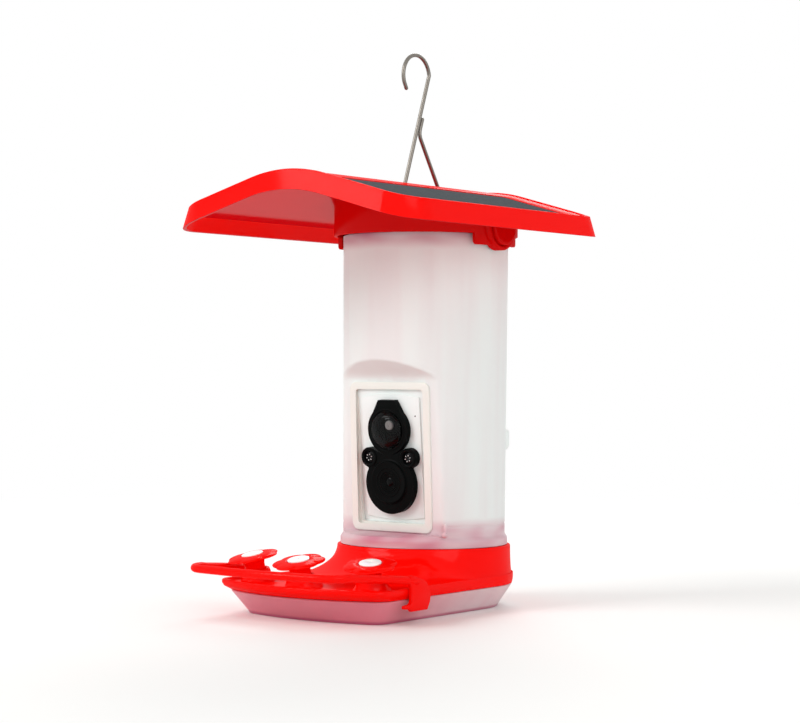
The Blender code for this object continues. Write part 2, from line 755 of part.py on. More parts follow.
def make_deck():
    foot = base_points(FOOT)
    under_foot = base_points(smaller(FOOT, DECK_WALL))
    slot_radius = CUP_RADIUS + CUP_WALL + CUP_SLOT
    hollow_top = RING_TOP - DECK_WALL - RING_ROUND
    lip = GASKET_WIDTH + SEAT_GAP + LIP_GAP
    lip_bottom = DECK_BOTTOM - LIP_DEPTH
    skirt_middle = Outline(*((3 * a + b) / 4 for a, b in zip(FOLD, TRAY_RIM)))

    def circle(radius, height):
        return lifted(circle_along(foot, radius), height)

    made = loft("base_deck", [
        lifted(base_points(TRAY_RIM), DECK_BOTTOM),
        lifted(base_points(skirt_middle), DECK_BOTTOM + SKIRT_HEIGHT / 3),
        lifted(base_points(FOLD), FOLD_TOP - DISH_DEPTH),
        lifted(base_points(smaller(FOLD, FOLD_RIM / 4, 0)), FOLD_TOP - DISH_DEPTH / 4),
        lifted(base_points(smaller(FOLD, FOLD_RIM / 2, FOLD_BACK_RIM / 2)), FOLD_TOP),
        lifted(base_points(smaller(FOLD, FOLD_RIM, FOLD_BACK_RIM)), DECK_TOP),
        *sweep_rings(foot, RING_RADIUS, DECK_TOP, RING_TOP - RING_ROUND, 5),
        circle(RING_RADIUS - RING_ROUND / 3, RING_TOP - RING_ROUND / 3),
        circle(RING_RADIUS - RING_ROUND, RING_TOP),
        circle(CUP_RADIUS + RING_ROUND, RING_TOP),
        circle(CUP_RADIUS, RING_TOP - RING_ROUND),
        circle(CUP_RADIUS, CUP_FLOOR),
        circle(CUP_HOLE_RADIUS, CUP_FLOOR),
        circle(CUP_HOLE_RADIUS, CUP_FLOOR - DECK_WALL),
        circle(CUP_RADIUS + CUP_WALL, CUP_FLOOR - DECK_WALL),
        circle(CUP_RADIUS + CUP_WALL, hollow_top),
        *reversed(sweep_rings(under_foot, slot_radius, DECK_UNDER, hollow_top, 3)),
        lifted(tray_inside(DECK_BOTTOM, lip + DECK_WALL), DECK_UNDER),
        lifted(tray_inside(lip_bottom, lip + DECK_WALL), lip_bottom),
        lifted(tray_inside(lip_bottom, lip), lip_bottom),
        lifted(tray_inside(DECK_BOTTOM, lip), DECK_BOTTOM),
    ], cyclic=True)
    for name, frame in flower_frames().items():
        low, high = -FLOWER_RISE, -FLOWER_RISE + SOCKET_RISE + SKIRT_HEIGHT - DISH_DEPTH
        socket = STEM_RADIUS + SLIDE_GAP + SOCKET_WALL
        join(made, rod(name + "_socket", socket, low, high, frame))
    for name, frame in flower_frames().items():
        cut(made, rod(name + "_bore", STEM_RADIUS + SLIDE_GAP, -FLOWER_RISE - OVERRUN, 0, frame))
    for i in range(LUG_COUNT):
        angle = 360 * i / LUG_COUNT + 90
        start, end = angle - LUG_ANGLE - LUG_FREE_ANGLE, angle + LUG_ANGLE + LUG_FREE_ANGLE
        radii = (SPIGOT_RADIUS, CUP_RADIUS + CUP_WALL + CUP_SLOT / 2)
        heights = (LUG_BOTTOM - SLIDE_GAP, LUG_BOTTOM + LUG_HEIGHT + SLIDE_GAP)
        cut(made, sector(f"channel_{i}", radii, heights, (start, end + TWIST_ANGLE)))
        cut(made, sector(f"entry_{i}", radii, (heights[0] + SLIDE_GAP / 2, RING_TOP + OVERRUN),
                         (start + TWIST_ANGLE, end + TWIST_ANGLE)))
    for side in (RIGHT, LEFT):
        cut(made, rod(f"peg_hole_{side}", PEG_RADIUS + SEAT_GAP, -PEG_LENGTH - SEAT_GAP, OVERRUN,
                      peg_frame(side), TINY_STEPS))
    red_plastic(made)
    return made


def make_bottle_seal():
    radii = (SPIGOT_RADIUS - SPIGOT_WALL - SEAT_GAP, SPIGOT_RADIUS)
    low, high = CUP_FLOOR + SEAT_GAP, CUP_FLOOR + SEAT_GAP + SEAL_THICKNESS
    made = turned("bottle_seal", [(radii[1], high), (radii[1], low), (radii[0], low), (radii[0], high)])
    rubber(made)
    return made


# Flowers

def flower_frames():
    """Each flower's frame: its Z runs up the leaning stem, and its origin is the middle of the flower."""
    places = {}
    for name, angle, reach in (
        ("flower_left", -90 - FLOWER_ANGLE, FLOWER_REACH),
        ("flower_middle", -90, MIDDLE_FLOWER_REACH),
        ("flower_right", -90 + FLOWER_ANGLE, FLOWER_REACH),
    ):
        places[name] = turn(angle, "Z") @ at(reach, 0, FLOWER_HEIGHT) @ turn(FLOWER_TILT, "Y")
    return places


def make_flower(name, frame):
    """A drooping head with scalloped petals on a hollow stem."""
    steps = PETALS * 5

    def ring(radius, height, notch_share=0.0):
        points = []
        for i in range(steps):
            angle = 2 * math.pi * i / steps
            dent = notch_share * (1 - abs(math.cos(PETALS * angle / 2)) ** PETAL_ROUNDNESS_SHARE)
            reach = radius * (1 - dent)
            points.append((reach * math.cos(angle), reach * math.sin(angle), height))
        return points

    middle = (INSERT_RADIUS + FLOWER_RADIUS) / 2
    made = loft(name, [
        ring(STEM_BORE, 0),
        ring(INSERT_RADIUS, 0),
        ring(middle, -FLOWER_DROOP / 4, PETAL_NOTCH_SHARE / 3),
        ring(FLOWER_RADIUS, -FLOWER_DROOP, PETAL_NOTCH_SHARE),
        ring(FLOWER_RADIUS - FLOWER_THICKNESS / 2, -FLOWER_DROOP - FLOWER_THICKNESS / 2, PETAL_NOTCH_SHARE),
        ring(middle, -FLOWER_DROOP / 2 - FLOWER_THICKNESS, PETAL_NOTCH_SHARE / 3),
        ring(STEM_RADIUS, -FLOWER_DROOP - FLOWER_THICKNESS),
        ring(STEM_RADIUS, -STEM_LENGTH),
        ring(STEM_BORE, -STEM_LENGTH),
    ], cyclic=True, frame=frame)
    red_plastic(made)
    return made


def make_insert(name, frame):
    """The white feeding port: a domed cap with a bill hole, and the tube that reaches into the nectar."""
    cap = SEAT_GAP + INSERT_CROWN
    made = turned(name, [
        (INSERT_PORT, cap), (INSERT_RADIUS - INSERT_CROWN, cap - INSERT_CROWN / 4), (INSERT_RADIUS, SEAT_GAP),
        (INSERT_TUBE, SEAT_GAP), (INSERT_TUBE, -INSERT_LENGTH), (INSERT_PORT, -INSERT_LENGTH),
    ], SMALL_STEPS)
    made.matrix_world = frame
    white_plastic(made)
    return made


# Perch

def strap_frame(side):
    """A frame on the deck's side: X runs back along it, Y up and Z out."""
    corner, back_start, _ = side_line(FOLD)
    along = (back_start - corner).normalized()
    share = (FOLD.corner - STRAP_FRONT) / along.y
    start = corner + along * share
    out = Vector((along.y, -along.x))
    frame = Matrix((
        (along.x, 0, out.x, start.x), (along.y, 0, out.y, start.y), (0, 1, 0, STRAP_BOTTOM), (0, 0, 0, 1)
    ))
    if side == LEFT:
        frame = Matrix.Diagonal((-1, 1, 1, 1)) @ frame @ Matrix.Diagonal((1, 1, -1, 1))
    return frame


def peg_frame(side):
    outward = Matrix() if side == RIGHT else Matrix.Diagonal((1, 1, -1, 1))
    return strap_frame(side) @ at(STRAP_LENGTH / 2, DECK_BOTTOM + PEG_HEIGHT - STRAP_BOTTOM, 0) @ outward


def perch_path():
    """The rail's middle line: a bowed bar in front and an arm down each side."""
    x, bend = PERCH_SIDE, PERCH_BEND
    front = PERCH_FRONT - PERCH_BOW
    half = [Vector((x * share, -PERCH_FRONT + 2 * PERCH_BOW * share ** 2, PERCH_HEIGHT))
            for share in PERCH_BAR_SHARES]
    for px, py in arc((x - bend, -front + bend), bend, -90, 0, 5):
        half.append(Vector((px, py, PERCH_HEIGHT)))
    frame = strap_frame(RIGHT)
    out = SEAT_GAP + STRAP_THICKNESS / 2
    along, up = PERCH_ARM_END_SHARES
    end = frame @ Vector((STRAP_LENGTH * along, STRAP_HEIGHT * up, out))
    start = half[-1]
    for share in PERCH_ARM_SHARES:
        point = start.lerp(end, share)
        point.z = PERCH_HEIGHT + (end.z - PERCH_HEIGHT) * math.sqrt(share)
        half.append(point)
    return [Vector((-p.x, p.y, p.z)) for p in reversed(half[1:])] + half


def make_perch():
    made = tube("perch_rail", perch_path(), PERCH_RADIUS)
    strap = [(x * STRAP_LENGTH, z * STRAP_HEIGHT) for x, z in STRAP_OUTLINE_SHARES]
    for side in (RIGHT, LEFT):
        frame = strap_frame(side)
        low, high = SEAT_GAP, SEAT_GAP + STRAP_THICKNESS
        span = (low, high) if side == RIGHT else (-high, -low)
        join(made, plate(f"strap_{side}", strap, *span, frame))
        join(made, rod(f"peg_{side}", PEG_RADIUS, -PEG_LENGTH, SEAT_GAP + STRAP_THICKNESS / 2,
                       peg_frame(side), TINY_STEPS))
    red_plastic(made)
    return made


# Bottle

def scoop_outline(inward):
    """The side view of the scoop as (forward, up), moved inward by a wall."""
    tilt, slope = math.radians(SCOOP_TILT), math.radians(SCOOP_ROOF_SLOPE)
    low = SCOOP_LEDGE - inward
    top = SCOOP_LEDGE + SCOOP_HEIGHT + inward
    reach = BOTTLE_TOP_RADIUS + OVERRUN + BOTTLE_WALL
    face_low = SCOOP_DEPTH - inward + (low - SCOOP_LEDGE) * math.tan(tilt)
    face_top = SCOOP_DEPTH - inward + (top - SCOOP_LEDGE) * math.tan(tilt)
    corner = Vector((face_top, top))
    up_face = Vector((math.sin(tilt), math.cos(tilt)))
    out_roof = Vector((math.cos(slope), math.sin(slope)))
    cut_back = SCOOP_FILLET * math.tan(math.radians(90 - SCOOP_TILT - SCOOP_ROOF_SLOPE) / 2)
    start, end = corner - up_face * cut_back, corner + out_roof * cut_back
    shares = [i / 4 for i in range(5)]
    fillet = [start.lerp(corner, s).lerp(corner.lerp(end, s), s) for s in shares]
    rim = corner + out_roof * (reach - face_top) / math.cos(slope)
    return [(reach, low), (face_low, low)] + [tuple(p) for p in fillet] + [tuple(rim)]


def scoop(name, inward):
    """A wide cutter of the scoop, across the whole bottle."""
    half = BOTTLE_TOP_RADIUS + OVERRUN
    frame = Matrix(((0, 0, 1, 0), (-1, 0, 0, 0), (0, 1, 0, 0), (0, 0, 0, 1)))
    return plate(name, scoop_outline(inward), -half, half, frame)


def tunnel(name, grow, front, back):
    """The camera's straight way through the bottle, grown all round, as a cutter."""
    outline = rounded_rectangle(CAMERA_WIDTH + 2 * grow, CAMERA_HEIGHT + 2 * grow, CAMERA_CORNER + grow)
    return plate(name, outline, -back, -front, facing_front(0, CAMERA_MIDDLE, 0))


def make_bottle():
    wall, low = BOTTLE_WALL, BOTTLE_LOW_RADIUS
    flare_top = BOTTLE_FOOT + BOTTLE_FLARE_HEIGHT
    spigot_inner = SPIGOT_RADIUS - SPIGOT_WALL
    neck_inner = NECK_RADIUS - wall
    bead_low = NECK_TOP - NECK_BEAD_HEIGHT
    floor_top = BOTTLE_FOOT + wall
    made = turned("nectar_bottle", [
        (0, SHOULDER - wall / 2), (neck_inner, SHOULDER - wall / 2),
        (neck_inner, bead_low - NECK_BEAD / 2), (neck_inner - NECK_BEAD, bead_low + NECK_BEAD / 2),
        (neck_inner - NECK_BEAD, NECK_TOP - NECK_BEAD / 2), (neck_inner, NECK_TOP),
        (NECK_RADIUS, NECK_TOP), (NECK_RADIUS, SHOULDER + wall / 2),
        (BOTTLE_TOP_RADIUS - wall / 2, SHOULDER), (BOTTLE_TOP_RADIUS, SHOULDER - wall / 2),
        (low, flare_top), (low + BOTTLE_FLARE / 3, flare_top - BOTTLE_FLARE),
        (low + BOTTLE_FLARE, flare_top - 2 * BOTTLE_FLARE), (low + BOTTLE_FLARE, BOTTLE_FOOT),
        (SPIGOT_RADIUS, BOTTLE_FOOT), (SPIGOT_RADIUS, SPIGOT_BOTTOM),
        (spigot_inner, SPIGOT_BOTTOM), (spigot_inner, BOTTLE_FOOT),
        (MOUTH_RADIUS, BOTTLE_FOOT), (MOUTH_RADIUS, MOUTH_CLEARANCE), (0, MOUTH_CLEARANCE),
    ])
    inside = turned("bottle_inside", [
        (0, SHOULDER - 3 * wall / 2), (BOTTLE_TOP_RADIUS - 2 * wall, SHOULDER - 3 * wall / 2),
        (BOTTLE_TOP_RADIUS - wall, SHOULDER - 3 * wall), (low - wall, flare_top),
        (low - wall, floor_top), (MOUTH_RADIUS - MOUTH_WALL, floor_top), (0, floor_top),
    ])
    cut(inside, scoop("scoop_wall", wall))
    reach = BOTTLE_TOP_RADIUS + OVERRUN
    cut(inside, tunnel("tunnel_wall", SLIDE_GAP + wall, -reach, reach))
    cut(made, inside)
    cut(made, scoop("scoop", 0))
    frame = facing_front(scoop_depth(CAMERA_MIDDLE), CAMERA_MIDDLE, SCOOP_TILT)
    rim = rounded_rectangle(
        CAMERA_WIDTH + 2 * FRAME_WIDTH, CAMERA_HEIGHT + 2 * FRAME_MARGIN, FRAME_CORNER
    )
    join(made, plate("window_rim", rim, -wall / 2, FRAME_HEIGHT, frame))
    cut(made, tunnel("tunnel", SLIDE_GAP, -reach, reach))
    cut(made, rod("mouth", MOUTH_RADIUS - MOUTH_WALL, MOUTH_CLEARANCE - OVERRUN, floor_top + SINK,
                  steps=SMALL_STEPS + 4))
    for i in range(LUG_COUNT):
        angle = 360 * i / LUG_COUNT + 90
        join(made, sector(f"lug_{i}", (SPIGOT_RADIUS - SPIGOT_WALL / 2, SPIGOT_RADIUS + LUG_REACH),
                          (LUG_BOTTOM, LUG_BOTTOM + LUG_HEIGHT), (angle - LUG_ANGLE, angle + LUG_ANGLE)))
    clear_plastic(made)
    return made


def scoop_depth(height):
    """How far forward the scoop's flat face is at this height."""
    return SCOOP_DEPTH + (height - SCOOP_LEDGE) * math.tan(math.radians(SCOOP_TILT))


# Camera

def camera_face():
    return facing_front(CAMERA_FACE_DEPTH, CAMERA_MIDDLE, CAMERA_FACE_TILT)


def camera_prism(name, shrink, front, back):
    """The camera's body section, drawn in by a wall, between two places along Y."""
    outline = rounded_rectangle(
        CAMERA_WIDTH - 2 * shrink, CAMERA_HEIGHT - 2 * shrink, CAMERA_CORNER - shrink / 2
    )
    return plate(name, outline, -back, -front, facing_front(0, CAMERA_MIDDLE, 0))


def in_front_of_face(name, below):
    """A block that holds all that lies in front of the camera's leaning face, or of a plane below it."""
    reach = CAMERA_HEIGHT
    return box(name, (-reach, -reach, -below), (reach, reach, reach), camera_face())


def screw_places():
    x = CAMERA_WIDTH / 2 - CAMERA_WALL - POST_RADIUS
    z = CAMERA_HEIGHT / 2 - CAMERA_WALL - POST_RADIUS
    return [(side * x, up * z) for side in (RIGHT, LEFT) for up in (RIGHT, LEFT)]


def make_camera_front():
    face = camera_face()
    made = camera_prism("camera_front_shell", 0, -CAMERA_WIDTH, CAMERA_SPLIT)
    cut(made, in_front_of_face("face_plane", 0))
    hollow = camera_prism("front_hollow", CAMERA_WALL, -CAMERA_WIDTH, CAMERA_SPLIT + OVERRUN)
    cut(hollow, in_front_of_face("hollow_plane", CAMERA_WALL))
    cut(made, hollow)
    half, side = PANEL_WIDTH / 2, PANEL_HEIGHT / 2
    radius = (half ** 2 + PANEL_BOW ** 2) / (2 * PANEL_BOW)
    sweep = math.degrees(math.asin(half / radius))
    top = arc((0, side + PANEL_BOW - radius), radius, 90 - sweep, 90 + sweep, 6)
    low = arc((0, radius - side - PANEL_BOW), radius, 270 - sweep, 270 + sweep, 6)
    join(made, plate("raised_panel", top + low, -SINK, PANEL_RISE, face))
    for name, radius, height in (("lens_bore", LENS_BARREL_RADIUS + SLIDE_GAP, -LENS_DROP),
                                 ("sensor_bore", DOME_RADIUS / 2, DOME_RISE)):
        cut(made, rod(name, radius, -CAMERA_WALL - OVERRUN, OVERRUN, face @ at(0, height, 0)))
    for i, (x, z) in enumerate(screw_places()):
        frame = facing_front(0, CAMERA_MIDDLE, 0) @ at(x, z, 0)
        depth = CAMERA_FACE_DEPTH + z * math.tan(math.radians(CAMERA_FACE_TILT)) - CAMERA_WALL / 2
        seat = -CAMERA_SPLIT + BOARD_THICKNESS + SEAT_GAP
        join(made, rod(f"front_post_{i}", POST_RADIUS, seat, depth, frame, TINY_STEPS))
        cut(made, rod(f"front_pilot_{i}", CAMERA_SCREW_RADIUS + SEAT_GAP, -CAMERA_SPLIT - OVERRUN,
                      -CAMERA_SPLIT + CAMERA_SCREW_LENGTH, frame, TINY_STEPS))
    white_plastic(made)
    return made


def make_camera_rear():
    start = CAMERA_SPLIT + SEAT_GAP
    flange_inner = BOTTLE_TOP_RADIUS + SEAT_GAP
    flange_outer = flange_inner + CAMERA_FLANGE_THICKNESS
    made = camera_prism("camera_rear_shell", 0, start, flange_outer + OVERRUN)
    back = rod("back_curve", flange_outer, 0, SHOULDER, steps=ROUND_STEPS)
    trim(made, back)
    cut(made, camera_prism("rear_hollow", CAMERA_WALL, start - OVERRUN, CAMERA_HOLLOW_BACK))
    grow = CAMERA_FLANGE
    outline = rounded_rectangle(CAMERA_WIDTH + 2 * grow, CAMERA_HEIGHT + 2 * grow, CAMERA_CORNER + grow)
    flange = plate("camera_flange", outline, -flange_outer - OVERRUN, -BOTTLE_TOP_RADIUS / 2,
                   facing_front(0, CAMERA_MIDDLE, 0))
    trim(flange, turned("flange_ring", [(flange_outer, SHOULDER), (flange_outer, 0),
                                        (flange_inner, 0), (flange_inner, SHOULDER)]))
    join(made, flange)
    half, low = CAMERA_WIDTH / 2, CAMERA_MIDDLE + GRIP_RISE - GRIP_HEIGHT / 2
    grip = rounded_rectangle(CAMERA_WIDTH, GRIP_HEIGHT, GRIP_HEIGHT / 4)
    join(made, plate("grip_bar", grip, -flange_outer - GRIP_REACH + OVERRUN / 2, -flange_inner + OVERRUN,
                     facing_front(0, low + GRIP_HEIGHT / 2, 0)))
    for i, (x, z) in enumerate(screw_places()):
        frame = facing_front(0, CAMERA_MIDDLE, 0) @ at(x, z, 0)
        y = CAMERA_HOLLOW_BACK + SINK
        join(made, rod(f"rear_post_{i}", POST_RADIUS, -y, -start, frame, TINY_STEPS))
        cut(made, rod(f"rear_pilot_{i}", CAMERA_SCREW_RADIUS + SEAT_GAP, -flange_outer - OVERRUN,
                      -start + OVERRUN, frame, TINY_STEPS))
        cut(made, rod(f"screw_head_way_{i}", CAMERA_SCREW_HEAD + SEAT_GAP, -flange_outer - OVERRUN,
                      screw_seat(), frame, TINY_STEPS))
    frame = port_frame()
    cut(made, box("port_pocket", (-PORT_WIDTH / 2 - SEAT_GAP, -PORT_HEIGHT - SEAT_GAP, -PORT_DEPTH),
                  (PORT_WIDTH / 2 + SEAT_GAP, PORT_HINGE_RADIUS + SEAT_GAP, OVERRUN), frame))
    width, height = PORT_SOCKET_WIDTH / 2, PORT_SOCKET_HEIGHT / 2
    cut(made, box("port_opening", (-width, -PORT_HEIGHT / 2 - height, -flange_outer / 2),
                  (width, -PORT_HEIGHT / 2 + height, 0), frame))
    white_plastic(made)
    return made


def screw_seat():
    """Where the camera screws' heads sit, along the frame that looks forward."""
    return -CAMERA_SPLIT - SEAT_GAP - CAMERA_SCREW_GRIP


def make_camera_screws():
    """Four long screws from the rear shell's wells into the front shell's posts, each a solid of its own."""
    made = []
    for i, (x, z) in enumerate(screw_places()):
        frame = facing_front(0, CAMERA_MIDDLE, 0) @ at(x, z, 0)
        seat = screw_seat() - SEAT_GAP
        name = f"camera_screw_{'upper' if z > 0 else 'lower'}_{'right' if x > 0 else 'left'}"
        tip = -CAMERA_SPLIT + CAMERA_SCREW_LENGTH - SINK
        screw = rod(name, CAMERA_SCREW_RADIUS, seat - SINK / 2, tip, frame, TINY_STEPS)
        join(screw, rod(name + "_head", CAMERA_SCREW_HEAD, seat - CAMERA_SCREW_HEAD, seat, frame, TINY_STEPS))
        steel(screw)
        made.append(screw)
    return made


def port_frame():
    """On the rear shell's back: X to the left, Y up and Z out, with the origin on the cover's hinge."""
    back = BOTTLE_TOP_RADIUS + SEAT_GAP + CAMERA_FLANGE_THICKNESS - PORT_COVER_THICKNESS / 2
    return at(0, back, CAMERA_MIDDLE - PORT_DROP) @ turn(180, "Z") @ turn(90, "X")


def make_port_cover():
    frame = port_frame()
    made = box("charging_port_cover", (-PORT_WIDTH / 2, -PORT_HEIGHT, -PORT_COVER_THICKNESS / 2),
               (PORT_WIDTH / 2, 0, PORT_COVER_THICKNESS / 2), frame)
    join(made, rod("cover_hinge", PORT_HINGE_RADIUS, -PORT_WIDTH / 2 + SEAT_GAP, PORT_WIDTH / 2 - SEAT_GAP,
                   frame @ turn(90, "Y"), TINY_STEPS))
    rubber(made)
    return made


def make_faceplate():
    """The black face: a crowned head round the sensor, a round body round the lens and two ears."""
    face = camera_face() @ at(0, 0, PANEL_RISE + SEAT_GAP)
    thick = FACEPLATE_THICKNESS
    rise, radius = FACEPLATE_HEAD_RISE, FACEPLATE_HEAD_RADIUS
    head = arc((0, rise), radius, 150, 390, 16)
    crown = [(FACEPLATE_TOP_WIDTH / 2, FACEPLATE_TOP), (-FACEPLATE_TOP_WIDTH / 2, FACEPLATE_TOP)]
    made = plate("camera_faceplate", head + crown, 0, thick, face)
    body = face @ at(0, -FACEPLATE_BODY_DROP, 0)
    join(made, rod("face_body", FACEPLATE_BODY_RADIUS, 0, thick - SINK / 4, body, SMALL_STEPS + 8))
    waist = rounded_rectangle(FACEPLATE_WAIST_WIDTH, FACEPLATE_WAIST_HEIGHT, FACEPLATE_THICKNESS)
    join(made, plate("face_waist", waist, 0, thick - SINK / 3, face))
    for side in (RIGHT, LEFT):
        ear = face @ at(side * FACEPLATE_EAR_REACH, 0, 0)
        join(made, rod(f"ear_{side}", FACEPLATE_EAR_RADIUS, 0, thick - SINK / 2, ear))
    for side in (RIGHT, LEFT):
        ear = face @ at(side * FACEPLATE_EAR_REACH, 0, 0)
        well = thick - LAMP_DEPTH - SINK
        cut(made, rod(f"lamp_well_{side}", LAMP_RADIUS + SEAT_GAP, well, thick + OVERRUN, ear, TINY_STEPS))
    cut(made, rod("dome_well", DOME_RADIUS + SEAT_GAP, SINK, thick + OVERRUN, face @ at(0, DOME_RISE, 0)))
    cut(made, rod("sensor_way", DOME_RADIUS / 2, -OVERRUN, thick, face @ at(0, DOME_RISE, 0)))
    cut(made, rod("lens_well", LENS_RADIUS + SEAT_GAP, SINK, thick + OVERRUN, face @ at(0, -LENS_DROP, 0)))
    cut(made, rod("lens_way", LENS_BARREL_RADIUS + SLIDE_GAP, -OVERRUN, thick, face @ at(0, -LENS_DROP, 0)))
    black_plastic(made)
    return made


def make_sensor_dome():
    """The motion sensor's domed window."""
    frame = camera_face() @ at(0, DOME_RISE, PANEL_RISE + 2 * SEAT_GAP + SINK)
    base = FACEPLATE_THICKNESS - SINK
    profile = [(DOME_RADIUS * math.cos(a), base + DOME_HEIGHT * math.sin(a))
               for a in (math.radians(90 * i / 6) for i in range(6, -1, -1))]
    profile[0] = (0, profile[0][1])
    made = turned("motion_sensor_dome", profile + [(DOME_RADIUS, 0), (0, 0)], SMALL_STEPS + 4)
    made.matrix_world = frame
    black_plastic(made)
    return made


def make_lens():
    """The stepped lens cover, and the barrel that it screws onto."""
    frame = camera_face() @ at(0, -LENS_DROP, PANEL_RISE + 2 * SEAT_GAP + SINK)
    top = FACEPLATE_THICKNESS - SINK
    profile = [(0, top - LENS_STEPS * LENS_STEP / 2)]
    for i in range(LENS_STEPS, 0, -1):
        radius = (LENS_RADIUS - LENS_RIM) * (LENS_STEPS - i + 1) / (LENS_STEPS + 1)
        profile += [(radius, top - i * LENS_STEP / 2), (radius, top - (i - 1) * LENS_STEP / 2)]
    profile += [(LENS_RADIUS - LENS_RIM, top), (LENS_RADIUS - LENS_RIM, top + LENS_RIM / 2),
                (LENS_RADIUS, top + LENS_RIM / 2), (LENS_RADIUS, 0), (0, 0)]
    cover = turned("lens_cover", profile, SMALL_STEPS + 4)
    cover.matrix_world = frame
    black_plastic(cover)
    barrel = rod("lens_barrel", LENS_BARREL_RADIUS, -LENS_BARREL_LENGTH, -SEAT_GAP, frame)
    black_plastic(barrel)
    return [cover, barrel]


def make_lamps():
    made = []
    for name, side in (("infrared_lamp_right", RIGHT), ("infrared_lamp_left", LEFT)):
        low = PANEL_RISE + 2 * SEAT_GAP + FACEPLATE_THICKNESS - LAMP_DEPTH - SINK
        frame = camera_face() @ at(side * FACEPLATE_EAR_REACH, 0, low)
        lamp = rod(name, LAMP_RADIUS, 0, LAMP_DEPTH, frame, TINY_STEPS, LAMP_RADIUS - LAMP_CHAMFER)
        paint(lamp, "#5A5F60", 0.2)
        made.append(lamp)
    return made


def make_camera_inside():
    """The circuit board held between the two shells' posts by their screws, and the battery behind it."""
    edge = CAMERA_WALL + BOARD_EDGE
    frame = facing_front(0, CAMERA_MIDDLE, 0)
    outline = rounded_rectangle(CAMERA_WIDTH - 2 * edge, CAMERA_HEIGHT - 2 * edge, BOARD_EDGE, steps=2)
    board = plate("main_board", outline, -CAMERA_SPLIT, -CAMERA_SPLIT + BOARD_THICKNESS, frame)
    for i, (x, z) in enumerate(screw_places()):
        cut(board, rod(f"board_hole_{i}", CAMERA_SCREW_RADIUS + SEAT_GAP, -CAMERA_SPLIT - OVERRUN,
                       -CAMERA_SPLIT + BOARD_THICKNESS + OVERRUN, frame @ at(x, z, 0), TINY_STEPS))
    paint(board, "#1E5B3A", 0.5)
    cell_y = CAMERA_SPLIT + SEAT_GAP + BATTERY_RADIUS
    cell = rod("battery_cell", BATTERY_RADIUS, -BATTERY_LENGTH / 2, BATTERY_LENGTH / 2,
               at(0, cell_y, CAMERA_MIDDLE))
    paint(cell, "#3F6FA0", 0.4)
    return [board, cell]


# Roof

def roof_height(x):
    """The roof's rim at this distance from the ridge: a round ridge, a straight slope and a hollow eave."""
    x = abs(x)
    slope, eave = math.radians(ROOF_SLOPE), math.radians(EAVE_SLOPE)
    ridge_end = RIDGE_RADIUS * math.sin(slope)
    if x < ridge_end:
        return RIDGE - RIDGE_RADIUS + math.sqrt(RIDGE_RADIUS ** 2 - x ** 2)
    straight_start = RIDGE - RIDGE_RADIUS * (1 - math.cos(slope))
    if x < EAVE_START:
        return straight_start - (x - ridge_end) * math.tan(slope)
    radius = (ROOF_HALF_WIDTH - EAVE_START) / (math.sin(slope) - math.sin(eave))
    lowest = EAVE_START + radius * math.sin(slope)
    middle = straight_start - (EAVE_START - ridge_end) * math.tan(slope) + radius * math.cos(slope)
    return middle - math.sqrt(radius ** 2 - (lowest - x) ** 2)


def roof_ring(outward, depth):
    """The roof's plan moved outward, at this depth under its rim."""
    middle = (ROOF_BACK - ROOF_FRONT) / 2
    half_length = (ROOF_BACK + ROOF_FRONT) / 2
    x, y = ROOF_HALF_WIDTH - ROOF_CORNER, half_length - ROOF_CORNER
    ridge_end = RIDGE_RADIUS * math.sin(math.radians(ROOF_SLOPE))
    stations = [ridge_end * i / 4 for i in range(5)] + [(ridge_end + x) / 2]
    back = [(station, half_length + outward) for station in stations]
    back += [(px, py) for px, py in arc((x, y), ROOF_CORNER + outward, 90, 0, 6)]
    half = [(px, -py) for px, py in back] + list(reversed(back))
    left = [(-px, py) for px, py in reversed(half[1:-1])]
    ring = half[:len(back)] + half[len(back):] + left
    return [(px, py + middle, roof_height(px) - depth) for px, py in ring]


